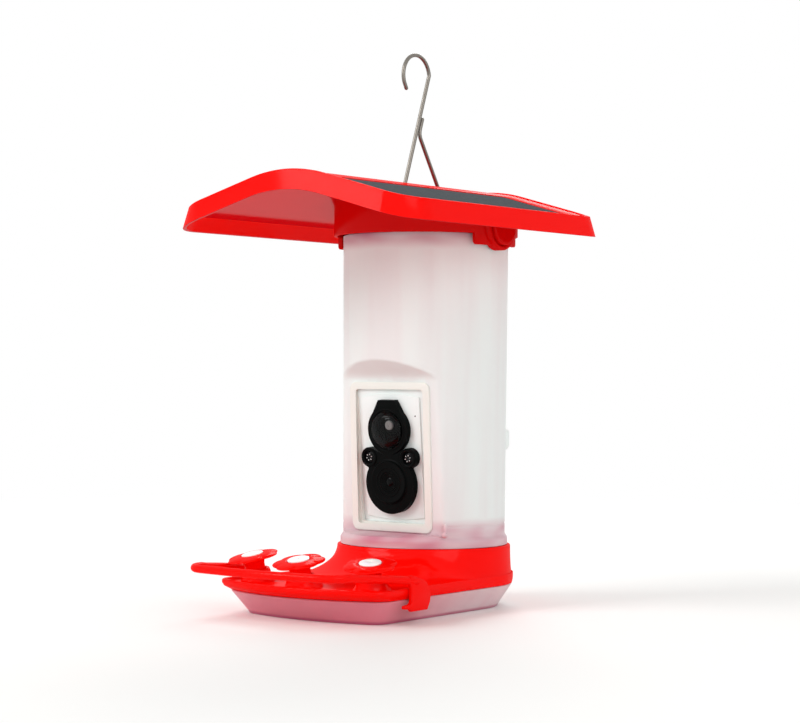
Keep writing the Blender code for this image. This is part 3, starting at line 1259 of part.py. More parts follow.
def make_roof():
    outward = [
        (-RIM_ROUND - RIM_WIDTH, RIM_HEIGHT), (-RIM_WIDTH, 0), (-RIM_ROUND, 0), (0, RIM_ROUND),
        (ROOF_FLARE, ROOF_FASCIA), (ROOF_FLARE - ROOF_WALL, ROOF_FASCIA),
        (-ROOF_WALL, RIM_HEIGHT + ROOF_WALL),
    ]
    shape = bmesh.new()
    rows = [[shape.verts.new(point) for point in roof_ring(*place)] for place in outward]
    count = len(rows[0])
    for row, beyond in zip(rows, rows[1:]):
        for i in range(count):
            shape.faces.new((row[i], row[(i + 1) % count], beyond[(i + 1) % count], beyond[i]))
    for row in (rows[0], rows[-1]):
        middle = roof_middle(row)
        fronts = sorted((v for v in row if v.co.y < middle), key=lambda v: v.co.x)
        backs = sorted((v for v in row if v.co.y > middle), key=lambda v: v.co.x)
        for i in range(len(fronts) - 1):
            shape.faces.new((fronts[i], fronts[i + 1], backs[i + 1], backs[i]))
    made = object_from("roof_shell", shape)
    post = spring_post_x()
    low = BUTTON_HEIGHT + BUTTON_RADIUS / 4
    for side in (RIGHT, LEFT):
        near, far = sorted((side * post, side * (post - SPRING_POST_THICKNESS)))
        join(made, box(f"spring_post_{side}", (near, -ARM_HALF_WIDTH, low),
                       (far, ARM_HALF_WIDTH, roof_height(post) - ROOF_WALL)))
        join(made, rod(f"spring_pin_{side}", SPRING_PIN_RADIUS, post - SINK, post + SPRING_PIN_LENGTH,
                       facing_side(side, spring_height()), TINY_STEPS))
    for i, angle in enumerate(EAR_ANGLES):
        frame = turn(angle, "Z") @ at(EAR_REACH, 0, 0)
        low = COLLAR_BOTTOM + EAR_RISE + SEAT_GAP
        top = roof_height(EAR_REACH * math.cos(math.radians(angle))) - RIM_HEIGHT - ROOF_WALL / 2
        join(made, rod(f"collar_post_{i}", COLLAR_POST_RADIUS, low, top, frame, TINY_STEPS))
        cut(made, rod(f"collar_pilot_{i}", COLLAR_SCREW_RADIUS + SEAT_GAP, low - OVERRUN,
                      low - EAR_THICKNESS + COLLAR_SCREW_LENGTH, frame, TINY_STEPS))
    for i, angle in enumerate(SEAT_POST_ANGLES):
        reach = NECK_RADIUS - BOTTLE_WALL
        top = roof_height(reach * math.cos(math.radians(angle))) - RIM_HEIGHT - ROOF_WALL / 2
        join(made, rod(f"neck_stop_{i}", SEAT_POST_RADIUS, NECK_TOP + SEAT_GAP, top,
                       turn(angle, "Z") @ at(reach, 0, 0), TINY_STEPS))
    middle = hanger_middle()
    for i, sign in enumerate((RIGHT, LEFT)):
        y = middle + sign * SADDLE_SPREAD / 2
        join(made, box(f"saddle_{i}", (-SADDLE_WIDTH / 2, y - SADDLE_LENGTH / 2, PIN_HEIGHT),
                       (SADDLE_WIDTH / 2, y + SADDLE_LENGTH / 2, RIDGE - RIM_HEIGHT - ROOF_WALL / 2)))
        place = at(sign * RETAINER_SCREW_SPACING / 2, middle, 0)
        low = PIN_HEIGHT - WIRE_RADIUS
        top = roof_height(RETAINER_SCREW_SPACING / 2) - RIM_HEIGHT - ROOF_WALL / 2
        join(made, rod(f"retainer_post_{i}", COLLAR_POST_RADIUS, low, top, place, TINY_STEPS))
        cut(made, rod(f"retainer_pilot_{i}", COLLAR_SCREW_RADIUS + SEAT_GAP, low - OVERRUN,
                      top - ROOF_WALL / 2, place, TINY_STEPS))
    cut(made, rod("pin_groove", WIRE_RADIUS + SEAT_GAP, middle - RETAINER_LENGTH, middle + RETAINER_LENGTH,
                  at(0, 0, PIN_HEIGHT) @ turn(-90, "X")))
    for name, (low, high) in hanger_slots().items():
        half = hanger_slot_half_width()
        cut(made, box(name, (-half, low, PIN_HEIGHT), (half, high, RIDGE + OVERRUN)))
    for side in (RIGHT, LEFT):
        cut(made, solar_plate(f"solar_pocket_{side}", side, SEAT_GAP, -solar_depth(), OVERRUN))
    red_plastic(made)
    return made


def roof_middle(row):
    return sum(vertex.co.y for vertex in row) / len(row)


def solar_frame(side):
    """On the slope under a solar panel: X down the slope, Z out of it."""
    middle = (SOLAR_INNER + SOLAR_OUTER) / 2
    slope = math.radians(ROOF_SLOPE)
    start = RIDGE_RADIUS * math.sin(slope)
    height = RIDGE - RIDGE_RADIUS * (1 - math.cos(slope)) - (middle - start) * math.tan(slope)
    return at(side * middle, (SOLAR_BACK - SOLAR_FRONT) / 2, height) @ turn(side * ROOF_SLOPE, "Y")


def solar_depth():
    """How deep the panel's pocket goes under the rim's level."""
    return RIM_HEIGHT + SOLAR_RECESS + SOLAR_THICKNESS + SEAT_GAP


def solar_plate(name, side, grow, low, high):
    width = (SOLAR_OUTER - SOLAR_INNER) / math.cos(math.radians(ROOF_SLOPE)) + 2 * grow
    outline = rounded_rectangle(width, SOLAR_BACK + SOLAR_FRONT + 2 * grow, SOLAR_CORNER + grow)
    return plate(name, outline, low, high, solar_frame(side))


def make_solar_panel(name, side):
    top = -RIM_HEIGHT - SOLAR_RECESS
    made = solar_plate(name, side, 0, top - SOLAR_THICKNESS, top)
    paint(made, "#3E4547", 0.2)
    return made


def under_roof(name, gap):
    """A block of all that lies above the roof's underside, less a gap, as a cutter."""
    reach = COLLAR_RADIUS + OVERRUN
    steps = 8
    below = RIM_HEIGHT + ROOF_WALL + gap
    points = [(-reach + 2 * reach * i / steps, roof_height(-reach + 2 * reach * i / steps) - below)
              for i in range(steps + 1)]
    points += [(reach, RIDGE + 2 * OVERRUN), (-reach, RIDGE + 2 * OVERRUN)]
    return plate(name, points, -reach, reach, facing_front(0, 0, 0))


def pad_cutter(name, side):
    """All that lies beside one edge of the pads, in a side view of the collar as (back, up)."""
    low = COLLAR_BOTTOM - PAD_DROP
    reach = COLLAR_RADIUS + OVERRUN
    corner = arc((PAD_HALF_WIDTH - PAD_CORNER, low + PAD_CORNER), PAD_CORNER, 0, -90, 4)
    points = [(PAD_HALF_WIDTH, COLLAR_BOTTOM)] + corner
    points += [(PAD_HALF_WIDTH - PAD_CORNER, low - OVERRUN), (reach, low - OVERRUN), (reach, COLLAR_BOTTOM)]
    return plate(name, [(side * x, z) for x, z in points], -reach, reach, facing_side(RIGHT, 0))


def make_collar():
    """The round collar over the bottle's shoulder, with a pad and a boss round each button."""
    inner, outer = COLLAR_RADIUS - COLLAR_WALL, COLLAR_RADIUS
    made = rod("roof_collar", outer, COLLAR_BOTTOM - PAD_DROP, RIDGE, steps=ROUND_STEPS)
    for side in (RIGHT, LEFT):
        cut(made, pad_cutter(f"pad_edge_{side}", side))
    for side in (RIGHT, LEFT):
        join(made, rod(f"boss_{side}", BOSS_RADIUS, outer / 2, outer + BOSS_REACH,
                       facing_side(side, BUTTON_HEIGHT), SMALL_STEPS + 8))
    low = COLLAR_BOTTOM + EAR_RISE - EAR_THICKNESS
    cut(made, rod("collar_bore", inner, 0, RIDGE + OVERRUN, steps=ROUND_STEPS))
    for i, angle in enumerate(EAR_ANGLES):
        join(made, sector(f"collar_ear_{i}", (NECK_RADIUS + EAR_NECK_GAP, inner + SINK),
                          (low, low + EAR_THICKNESS), (angle - EAR_SPAN, angle + EAR_SPAN)))
        cut(made, rod(f"ear_hole_{i}", COLLAR_SCREW_RADIUS + SEAT_GAP, low - OVERRUN,
                      low + EAR_THICKNESS + OVERRUN, turn(angle, "Z") @ at(EAR_REACH, 0, 0), TINY_STEPS))
    for side in (RIGHT, LEFT):
        frame = facing_side(side, BUTTON_HEIGHT)
        cut(made, rod(f"button_bore_{side}", BUTTON_RADIUS + SEAT_GAP, inner / 2,
                      outer + BOSS_REACH + OVERRUN, frame, SMALL_STEPS + 8))
    cut(made, under_roof("collar_top", SEAT_GAP))
    red_plastic(made)
    return made


def make_collar_screws():
    made = []
    for i, angle in enumerate(EAR_ANGLES):
        frame = turn(angle, "Z") @ at(EAR_REACH, 0, 0)
        seat = COLLAR_BOTTOM + EAR_RISE - EAR_THICKNESS - SEAT_GAP
        name = "collar_screw_" + ("rear_right", "rear_left", "front_left", "front_right")[i]
        screw = rod(name, COLLAR_SCREW_RADIUS, seat - SINK / 2, seat + COLLAR_SCREW_LENGTH, frame, TINY_STEPS)
        join(screw, rod(name + "_head", COLLAR_SCREW_HEAD, seat - COLLAR_SCREW_HEAD_HEIGHT, seat, frame,
                        TINY_STEPS))
        steel(screw)
        made.append(screw)
    return made


# Release buttons

def leg_x():
    """The inner face of a button's leg, which the spring pushes on."""
    return NECK_RADIUS - BOTTLE_WALL - NECK_BEAD - BUTTON_TRAVEL / 4 - LEG_THICKNESS


def spring_post_x():
    return leg_x() - SPRING_LENGTH - 2 * SEAT_GAP


def spring_height():
    return NECK_TOP - SPRING_RADIUS / 2


def make_button(name, side):
    """A domed button whose arm reaches over the bottle's neck to a hook under the neck's bead."""
    frame = facing_side(side, BUTTON_HEIGHT)
    inner = COLLAR_RADIUS - COLLAR_WALL
    flange_out = math.sqrt(inner ** 2 - BUTTON_FLANGE ** 2) - SEAT_GAP
    flange_in = flange_out - BUTTON_FLANGE_THICKNESS
    face = BUTTON_FACE
    made = rod(name, BUTTON_RADIUS, flange_out - SINK / 2, face - BUTTON_DOME, frame, SMALL_STEPS + 8)
    join(made, rod(name + "_dome", BUTTON_RADIUS - BUTTON_DOME, face - BUTTON_DOME - SINK, face, frame,
                   SMALL_STEPS + 8, BUTTON_RADIUS - 3 * BUTTON_DOME))
    join(made, rod(name + "_flange", BUTTON_FLANGE, flange_in, flange_out, frame, SMALL_STEPS + 4))
    arm_low = NECK_TOP + ARM_OVER_NECK - BUTTON_HEIGHT
    arm_high = arm_low + ARM_THICKNESS
    leg_in, leg_out = leg_x(), leg_x() + LEG_THICKNESS
    join(made, box(name + "_arm", (-ARM_HALF_WIDTH, arm_low, leg_in), (ARM_HALF_WIDTH, arm_high, flange_out),
                   frame))
    join(made, box(name + "_leg", (-ARM_HALF_WIDTH, arm_high - LEG_LENGTH, leg_in),
                   (ARM_HALF_WIDTH, arm_high - SINK / 2, leg_out), frame))
    hook_top = NECK_TOP - NECK_BEAD_HEIGHT - NECK_BEAD - BUTTON_HEIGHT
    hook_tip = NECK_RADIUS - BOTTLE_WALL - NECK_BEAD + HOOK_BITE
    join(made, box(name + "_hook", (-ARM_HALF_WIDTH / 2, hook_top - HOOK_HEIGHT, leg_in + SINK / 2),
                   (ARM_HALF_WIDTH / 2, hook_top, hook_tip), frame))
    reach = BUTTON_FLANGE + OVERRUN
    shoulder = SHOULDER + BOTTLE_WALL / 2 + SEAT_GAP - BUTTON_HEIGHT
    way = BOTTLE_TOP_RADIUS + BUTTON_TRAVEL + SEAT_GAP
    cut(made, box(name + "_shoulder_way", (-reach, -reach, 0), (reach, shoulder, way), frame))
    red_plastic(made)
    return made


def make_spring(name, side):
    """A coil spring between the fixed post and the button's leg."""
    start = spring_post_x() + SEAT_GAP + SPRING_WIRE
    end = leg_x() - SEAT_GAP - SPRING_WIRE
    steps = SPRING_TURNS * SPRING_POINTS
    points = []
    for i in range(steps + 1):
        angle = 2 * math.pi * i / SPRING_POINTS
        points.append(((SPRING_RADIUS - SPRING_WIRE) * math.cos(angle),
                       (SPRING_RADIUS - SPRING_WIRE) * math.sin(angle), start + (end - start) * i / steps))
    made = tube(name, points, SPRING_WIRE, 1, facing_side(side, spring_height()))
    steel(made)
    pitch = (end - start) / SPRING_TURNS
    print(f"{name}: least gap between turns {1000 * (pitch - 2 * SPRING_WIRE):.2f} mm")
    return made


# Hanger

def hanger_middle():
    return (HANGER_REAR_FOOT - HANGER_FRONT_FOOT) / 2


def leg_direction():
    """Up the hanger's long leg, as (back, up) in the plane of the wire."""
    return Vector((HANGER_THROAT_FORWARD + HANGER_FRONT_FOOT, HANGER_THROAT_RISE)).normalized()


def join_point():
    """Where the short leg turns up beside the long one, from the pin's level."""
    along = leg_direction()
    aside = Vector((along.y, -along.x)) * (2 * WIRE_RADIUS + SEAT_GAP)
    foot = Vector((-HANGER_FRONT_FOOT, 0))
    return foot + along * (HANGER_JOIN_RISE / along.y) + aside


def rounded_path(corners, bends, steps=3):
    """A path through the corners, each rounded off over its bend length."""
    points = [corners[0]]
    for before, corner, after, bend in zip(corners, corners[1:], corners[2:], bends):
        start = corner + (before - corner).normalized() * bend
        end = corner + (after - corner).normalized() * bend
        for i in range(steps + 1):
            share = i / steps
            points.append(start.lerp(corner, share).lerp(corner.lerp(end, share), share))
    return points + [corners[-1]]


def hanger_path():
    """The bent wire in its own plane, as (back, up) from the pin: the hook, the long leg, the pin under the
    ridge, and the short leg, which ends beside the long one."""
    front, rear = Vector((-HANGER_FRONT_FOOT, 0)), Vector((HANGER_REAR_FOOT, 0))
    along = leg_direction()
    throat = front + along * (HANGER_THROAT_RISE / along.y)
    centre = Vector((throat.x - HOOK_RADIUS + WIRE_RADIUS, HOOK_APEX_RISE - HOOK_RADIUS))
    hook = [Vector(point) for point in arc(centre, HOOK_RADIUS, HOOK_START_ANGLE, HOOK_END_ANGLE, 12)]
    tip = hook[0] + Vector((HOOK_TIP_BACK, -HOOK_TIP_DROP))
    meet = join_point()
    tail = meet + along * HANGER_TAIL
    path = rounded_path([throat, front, rear, meet, tail], [FOOT_BEND, FOOT_BEND, FOOT_BEND])
    return [tip] + hook + path


def hanger_slots():
    """Where each leg comes through the ridge, over its whole swing, as spans along Y."""
    swung = 1 / math.cos(math.radians(HANGER_SWING))
    shift = leg_direction().x / leg_direction().y
    short = join_point() - Vector((HANGER_REAR_FOOT, 0))
    slots = {}
    for name, foot, lean in (("front_slot", -HANGER_FRONT_FOOT, shift),
                             ("rear_slot", HANGER_REAR_FOOT, short.x / short.y)):
        thick = WIRE_RADIUS * math.hypot(1, lean) + SLIDE_GAP
        end = foot + lean * (PIN_DEPTH + SINK) * swung
        slots[name] = (min(foot, end) - thick, max(foot, end) + thick)
    return slots


def hanger_slot_half_width():
    swing = math.radians(HANGER_SWING)
    return PIN_DEPTH * math.tan(swing) + WIRE_RADIUS / math.cos(swing) + SLIDE_GAP


def make_hanger():
    points = [(0, p.x, p.y) for p in hanger_path()]
    made = tube("hanger_wire", points, WIRE_RADIUS, 2, at(0, 0, PIN_HEIGHT))
    steel(made)
    return made


def make_retainer():
    """The plate under the ridge that keeps the hanger's pin in its saddles, and its two screws."""
    middle = hanger_middle()
    high = PIN_HEIGHT - WIRE_RADIUS - SEAT_GAP
    outline = rounded_rectangle(RETAINER_WIDTH, RETAINER_LENGTH, SOLAR_CORNER)
    made = plate("hanger_retainer", outline, high - RETAINER_THICKNESS, high, at(0, middle, 0))
    screws = []
    for name, sign in (("retainer_screw_right", RIGHT), ("retainer_screw_left", LEFT)):
        place = at(sign * RETAINER_SCREW_SPACING / 2, middle, 0)
        cut(made, rod(name + "_hole", COLLAR_SCREW_RADIUS + SEAT_GAP, 0, RIDGE, place, TINY_STEPS))
        seat = high - RETAINER_THICKNESS - SEAT_GAP
        tip = seat + RETAINER_THICKNESS + PIN_DEPTH / 2
        screw = rod(name, COLLAR_SCREW_RADIUS, seat - SINK / 2, tip, place, TINY_STEPS)
        join(screw, rod(name + "_head", COLLAR_SCREW_HEAD, seat - COLLAR_SCREW_HEAD_HEIGHT, seat, place,
                        TINY_STEPS))
        steel(screw)
        screws.append(screw)
    black_plastic(made)
    return [made] + screws


def main():
    base = carrier("base_body", Matrix())
    carry(base, make_tray(), make_gasket(), make_deck(), make_bottle_seal(), make_perch())
    for name, frame in flower_frames().items():
        stem = carrier(name + "_axis", frame, base)
        carry(stem, make_flower(name, frame), make_insert(name.replace("flower", "port_insert"), frame))
    bottle = carrier("bottle_body", Matrix(), base)
    carry(bottle, make_bottle(), make_roof(), make_collar(), *make_collar_screws(), *make_retainer(),
          make_solar_panel("solar_panel_right", RIGHT), make_solar_panel("solar_panel_left", LEFT),
          make_spring("button_spring_right", RIGHT), make_spring("button_spring_left", LEFT))
    for name, side in (("release_button_right", RIGHT), ("release_button_left", LEFT)):
        axis = carrier(name + "_axis", facing_side(side, BUTTON_HEIGHT), bottle)
        carry(axis, make_button(name, side))
    swing = carrier("hanger_axis", at(0, 0, PIN_HEIGHT), bottle)
    carry(swing, make_hanger())
    camera = carrier("camera_body", facing_front(0, CAMERA_MIDDLE, 0), bottle)
    carry(camera, make_camera_front(), make_camera_rear(), *make_camera_screws(), make_faceplate(),
          make_sensor_dome(), *make_lens(), *make_lamps(), *make_camera_inside())
    hinge = carrier("port_cover_axis", port_frame(), camera)
    carry(hinge, make_port_cover())


main()
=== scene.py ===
"""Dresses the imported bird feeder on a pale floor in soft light.

It gets smooth moulded shells, a frosted bottle, a black camera face, solar cells and a bent wire hanger.
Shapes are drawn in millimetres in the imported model's frame, and each finished piece is turned to metres.
"""

import math

import bmesh
import bpy
from mathutils import Matrix, Vector


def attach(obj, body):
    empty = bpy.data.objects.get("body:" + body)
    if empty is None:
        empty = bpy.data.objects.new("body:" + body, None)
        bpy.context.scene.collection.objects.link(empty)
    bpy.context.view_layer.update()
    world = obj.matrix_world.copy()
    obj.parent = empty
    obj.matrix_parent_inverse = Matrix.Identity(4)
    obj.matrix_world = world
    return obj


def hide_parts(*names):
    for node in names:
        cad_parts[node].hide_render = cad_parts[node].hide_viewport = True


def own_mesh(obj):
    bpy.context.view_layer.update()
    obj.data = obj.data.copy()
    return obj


bl_info = {
    "name": "Camera Bird Feeder",
    "version": (1, 0, 0),
    "blender": (4, 5, 0),
    "location": "View3D > Sidebar > Feeder",
    "description": "Builds the visible pieces of a hummingbird feeder with a camera around its packed solids",
    "category": "Object",
}

MM = 0.001
RIGHT, LEFT = 1, -1
SIDES = ((RIGHT, "right"), (LEFT, "left"))

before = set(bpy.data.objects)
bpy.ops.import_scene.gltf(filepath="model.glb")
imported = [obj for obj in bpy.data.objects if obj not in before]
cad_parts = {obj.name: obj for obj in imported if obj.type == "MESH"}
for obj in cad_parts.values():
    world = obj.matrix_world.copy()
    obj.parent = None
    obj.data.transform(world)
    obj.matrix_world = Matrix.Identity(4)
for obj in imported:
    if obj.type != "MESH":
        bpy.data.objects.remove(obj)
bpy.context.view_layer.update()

# Levels in millimetres over the tray's foot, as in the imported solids. Only the bottle's shoulder is drawn
# a little higher, as in the photo.
TRAY_TOP, DECK_LOW, DECK_TOP, RING_TOP = 13.2, 13.5, 18.3, 35.6
BOTTLE_FOOT, LEDGE, SHOULDER, NECK_TOP = 35.9, 42.0, 213.9, 226.0
COLLAR_LOW, BUTTON_HEIGHT, PIN_HEIGHT, RIDGE = 213.5, 217.4, 238.5, 243.8
CAMERA_LOW, CAMERA_MIDDLE, CAMERA_HIGH = 47.4, 86.4, 125.4
SPRING_HEIGHT = NECK_TOP - 1.5

# Slopes in degrees: the recess leans back, the camera's face leans more, and the roof falls to both sides
RECESS_LEAN, FACE_LEAN, ROOF_SLOPE, EAVE_SLOPE = 2.6, 5.165, 15.5, 8.0

# The roof's ridge is an arc of this radius, and its hollow eave starts this far out
RIDGE_RADIUS, EAVE_START, ROOF_MIDDLE = 97.0, 70.0, -31.75
RIDGE_END = RIDGE_RADIUS * math.sin(math.radians(ROOF_SLOPE))
STRAIGHT_START = RIDGE - RIDGE_RADIUS * (1 - math.cos(math.radians(ROOF_SLOPE)))

# On the camera's face, right and up from its middle
SENSOR, LENS, EAR = (0, 15.8), (0, -13.9), 13.9

# Round the bottle's axis, where the roof's screws go through the collar's ears
SCREW_ANGLES = (45, 135, 225, 315)


def lengths(name, description, default_mm):
    """A length that a user can change, in metres on the panel."""
    return bpy.props.FloatProperty(name=name, description=description, default=default_mm * MM, unit="LENGTH",
                                   precision=5)


def colour_choice(name, description, code):
    return bpy.props.FloatVectorProperty(name=name, description=description, default=linear(code), size=3,
                                         subtype="COLOR", min=0, max=1)


def linear(code):
    """The linear colour of an sRGB hex value."""
    shares = [int(code[i:i + 2], 16) / 255 for i in (1, 3, 5)]
    return [s / 12.92 if s <= 0.04045 else ((s + 0.055) / 1.055) ** 2.4 for s in shares]


class FeederSizes(bpy.types.PropertyGroup):
    """Sizes of the feeder's visible pieces."""

    bottle_radius: lengths("Bottle radius", "Outer radius of the bottle at its shoulder", 48.0)
    bottle_foot_radius: lengths("Bottle foot radius", "Outer radius of the bottle above its flare", 47.0)
    bottle_wall: lengths("Bottle wall", "Thickness of the bottle's wall", 2.0)
    recess_depth: lengths("Recess depth", "From the bottle's axis to the flat in its front", 29.5)
    recess_round: lengths("Recess rounding", "Rounding where the flat meets the round wall", 0.4)
    window_rim: lengths("Window rim", "How far the raised frame stands proud of the flat", 1.1)
    wire_radius: lengths("Wire radius", "Half the hanger wire's thickness", 1.15)
    perch_radius: lengths("Perch radius", "Half the perch bar's thickness", 2.25)
    flower_radius: lengths("Flower radius", "Reach of a flower's petals", 14.65)
    button_radius: lengths("Button radius", "Radius of a release button", 10.2)
    lens_radius: lengths("Lens radius", "Radius of the camera's lens cover", 12.2)
    dome_radius: lengths("Dome radius", "Radius of the motion sensor's dome", 10.8)


class FeederColours(bpy.types.PropertyGroup):
    """Colours of the feeder's finishes."""

    shell_red: colour_choice("Shell red", "Roof, deck, perch and flowers", "#FF0803")
    # Painted shade: the collar and its buttons sit in the roof's shadow, so their red is drawn darker.
    shaded_red: colour_choice("Shaded red", "The collar and its buttons", "#CC0606")
    frosted: colour_choice("Frosted", "The nectar bottle", "#F8FDFB")
    frosted_rib: colour_choice("Frosted rib", "The window's frame and the camera's tunnel", "#EFEFE8")
    # Painted light: the red that the deck and collar throw onto the frosted wall.
    red_bounce_light: colour_choice("Painted red light", "The frosted wall beside red pieces", "#D58A9F")
    tray_clear: colour_choice("Tray", "The nectar tray's back part", "#FFE6E9")
    # Painted light: the deck's red light on the tray's front.
    tray_red_bounce_light: colour_choice("Tray painted red light", "The tray's front, in the deck's red light", "#FF7E94")
    tray_edge_painted_light: colour_choice("Tray edge", "The tray's lower edge, where its wall is seen end on", "#D2527C")
    # Painted light: a deeper pink on the tray's lower edge, for the deck's light in its wall seen end on.
    plate_white: colour_choice("Camera plate", "The camera's shells", "#E9F0EE")
    face_black: colour_choice("Camera face", "The black plate round lens and sensor", "#0A0C0C")
    port_white: colour_choice("Feeding ports", "The white caps in the flowers", "#FBFAF8")
    cell_grey: colour_choice("Solar cells", "The dark cells in the roof", "#585C5F")
    wire_grey: colour_choice("Wire", "The hanger's bright wire", "#837E77")


# Shaping

def between(low, high, share):
    return low + (high - low) * share


def arc(centre, radius, start, end, steps):
    """Points on an arc, with angles in degrees."""
    angles = [math.radians(between(start, end, i / steps)) for i in range(steps + 1)]
    return [(centre[0] + radius * math.cos(a), centre[1] + radius * math.sin(a)) for a in angles]


def polar(radius, angle, *height):
    """The point at this radius and angle, on the plan or at a height."""
    return Vector((radius * math.cos(angle), radius * math.sin(angle), *height))


def rounded_rectangle(width, height, radius, steps=8):
    x, y = width / 2 - radius, height / 2 - radius
    points = []
    for corner, start in (((x, y), 0), ((-x, y), 90), ((-x, -y), 180), ((x, -y), 270)):
        points += arc(corner, radius, start, start + 90, steps)
    return points


def soft_least(a, b, reach):
    """The smaller of two lengths, rounded off where they are within reach of each other."""
    share = max(reach - abs(a - b), 0) / reach
    return min(a, b) - share * share * reach / 4


def edges_round(shape, row):
    return [shape.edges.get((a, b)) for a, b in zip(row, row[1:] + row[:1])]


def first_row(shape, points):
    row = [shape.verts.new(point) for point in points]
    for a, b in zip(row, row[1:] + row[:1]):
        shape.edges.new((a, b))
    return row


def grow(shape, row, points):
    """Extrudes a ring's edges and puts the new ring on these points."""
    made = bmesh.ops.extrude_edge_only(shape, edges=edges_round(shape, row))["geom"]
    fresh = {part for part in made if isinstance(part, bmesh.types.BMVert)}
    beyond = []
    for vert, point in zip(row, points):
        twin = next(e.other_vert(vert) for e in vert.link_edges if e.other_vert(vert) in fresh)
        twin.co = point
        beyond.append(twin)
    return beyond


def skin(shape, rings, closed=False, capped=True):
    """A skin through rings of as many points each, closed on itself or capped at its ends."""
    start = row = first_row(shape, rings[0])
    for ring in rings[1:]:
        row = grow(shape, row, ring)
    if closed:
        row = grow(shape, row, rings[0])
        bmesh.ops.remove_doubles(shape, verts=start + row, dist=1e-4)
    elif capped:
        bmesh.ops.edgeloop_fill(shape, edges=edges_round(shape, start) + edges_round(shape, row))
    return start, row


def spun(shape, profile, steps, place=Matrix()):
    """Spins a profile of (radius, height) about the frame's Z."""
    verts = [shape.verts.new((r, 0, z)) for r, z in profile]
    edges = [shape.edges.new(pair) for pair in zip(verts, verts[1:])]
    bmesh.ops.spin(shape, geom=verts + edges, cent=(0, 0, 0), axis=(0, 0, 1), dvec=(0, 0, 0),
                   angle=2 * math.pi, steps=steps, use_merge=True)
    island = connected(verts)
    bmesh.ops.transform(shape, matrix=place, verts=list(island))
    return island


def connected(verts):
    """All vertices joined to these by edges."""
    found, edge = set(verts), list(verts)
    while edge:
        for e in edge.pop().link_edges:
            for v in e.verts:
                if v not in found:
                    found.add(v)
                    edge.append(v)
    return found


def slab(shape, outline, low, high, place=Matrix(), round_off=0.0, segments=3):
    """A flat outline raised from low to high along the frame's Z, with its upper edge rounded off."""
    row = first_row(shape, [(x, y, low) for x, y in outline])
    face = bmesh.ops.contextual_create(shape, geom=edges_round(shape, row))["faces"]
    made = bmesh.ops.extrude_face_region(shape, geom=face)["geom"]
    top = [part for part in made if isinstance(part, bmesh.types.BMVert)]
    bmesh.ops.translate(shape, vec=(0, 0, high - low), verts=top)
    verts = row + top
    if round_off:
        rim = [e for e in shape.edges if e.verts[0] in set(top) and e.verts[1] in set(top)]
        bmesh.ops.bevel(shape, geom=rim, offset=round_off, segments=segments, profile=0.5, affect="EDGES",
                        material=-1, clamp_overlap=True)
        verts = list(connected(row))
    bmesh.ops.transform(shape, matrix=place, verts=verts)


def block(shape, half, low, high, near, far, place=Matrix()):
    """A block from near to far on the frame's Z and low to high on its Y, this far to both sides."""
    slab(shape, [(-half, low), (half, low), (half, high), (-half, high)], near, far, place)


def pipe(shape, path, radius, around):
    """A round bar along a path, with domed ends."""
    path = [Vector(p) for p in path]
    tangents = [(b - a).normalized() for a, b in zip(path, path[1:])]
    ways = [tangents[0]] + [(a + b).normalized() for a, b in zip(tangents, tangents[1:])] + [tangents[-1]]
    side = ways[0].orthogonal().normalized()
    stations = []
    for place, way in zip(path, ways):
        side = (side - way * side.dot(way)).normalized()
        stations.append((place, way, side, radius))
    dome = [math.radians(a) for a in (75, 50, 25)]
    head = [(path[0] - ways[0] * radius * math.sin(a), ways[0], stations[0][2], radius * math.cos(a))
            for a in dome]
    tail = [(path[-1] + ways[-1] * radius * math.sin(a), ways[-1], stations[-1][2], radius * math.cos(a))
            for a in reversed(dome)]
    stations = head + stations + tail
    rings = []
    for place, way, across, reach in stations:
        up = way.cross(across)
        rings.append([place + (across * math.cos(t) + up * math.sin(t)) * reach
                      for t in (2 * math.pi * i / around for i in range(around))])
    return skin(shape, rings)


def rounded_path(corners, bends, steps=8):
    """A path through the corners, each rounded off over its bend length."""
    corners = [Vector(c) for c in corners]
    points = [corners[0]]
    for before, corner, after, bend in zip(corners, corners[1:], corners[2:], bends):
        start = corner + (before - corner).normalized() * bend
        end = corner + (after - corner).normalized() * bend
        for i in range(steps + 1):
            share = i / steps
            points.append(start.lerp(corner, share).lerp(corner.lerp(end, share), share))
    return points + [corners[-1]]


def at(x, y, z):
    return Matrix.Translation((x, y, z))


def turn(degrees, axis):
    return Matrix.Rotation(math.radians(degrees), 4, axis)


def facing_front(depth, height, tilt):
    """A frame on a face that looks forward: X to the right, Y up the face, Z out of it."""
    return at(0, -depth, height) @ turn(90 + tilt, "X")


def facing_side(side, height):
    """A frame whose Z points out to one side, with its Y up."""
    out = Matrix(((0, 0, 1, 0), (1, 0, 0, 0), (0, 1, 0, 0), (0, 0, 0, 1)))
    return at(0, 0, height) @ (out if side == RIGHT else turn(180, "Z") @ out)


def drawn_in(points, by, height, place):
    """An outline drawn in toward its middle, at a height over the frame."""
    return [place @ Vector((x - math.copysign(by, x), y - math.copysign(by, y), height)) for x, y in points]


def as_object(shape, name):
    """The shape as an object, turned from millimetres to metres."""
    bmesh.ops.recalc_face_normals(shape, faces=shape.faces)
    bmesh.ops.scale(shape, vec=(MM, MM, MM), verts=shape.verts)
    mesh = bpy.data.meshes.new(name)
    shape.to_mesh(mesh)
    shape.free()
    made = bpy.data.objects.new(name, mesh)
    bpy.context.scene.collection.objects.link(made)
    return made


def smoothed(mesh, sharp):
    mesh.shade_smooth()
    mesh.set_sharp_from_angle(angle=math.radians(sharp))


def piece(shape, name, finish, body, stands_for=(), sharp=32):
    """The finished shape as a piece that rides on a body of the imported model."""
    bmesh.ops.remove_doubles(shape, verts=shape.verts, dist=1e-5)
    made = as_object(shape, name)
    smoothed(made.data, sharp)
    made.data.materials.append(finishes[finish])
    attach(made, body)
    if stands_for:
        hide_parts(*stands_for)
    return made


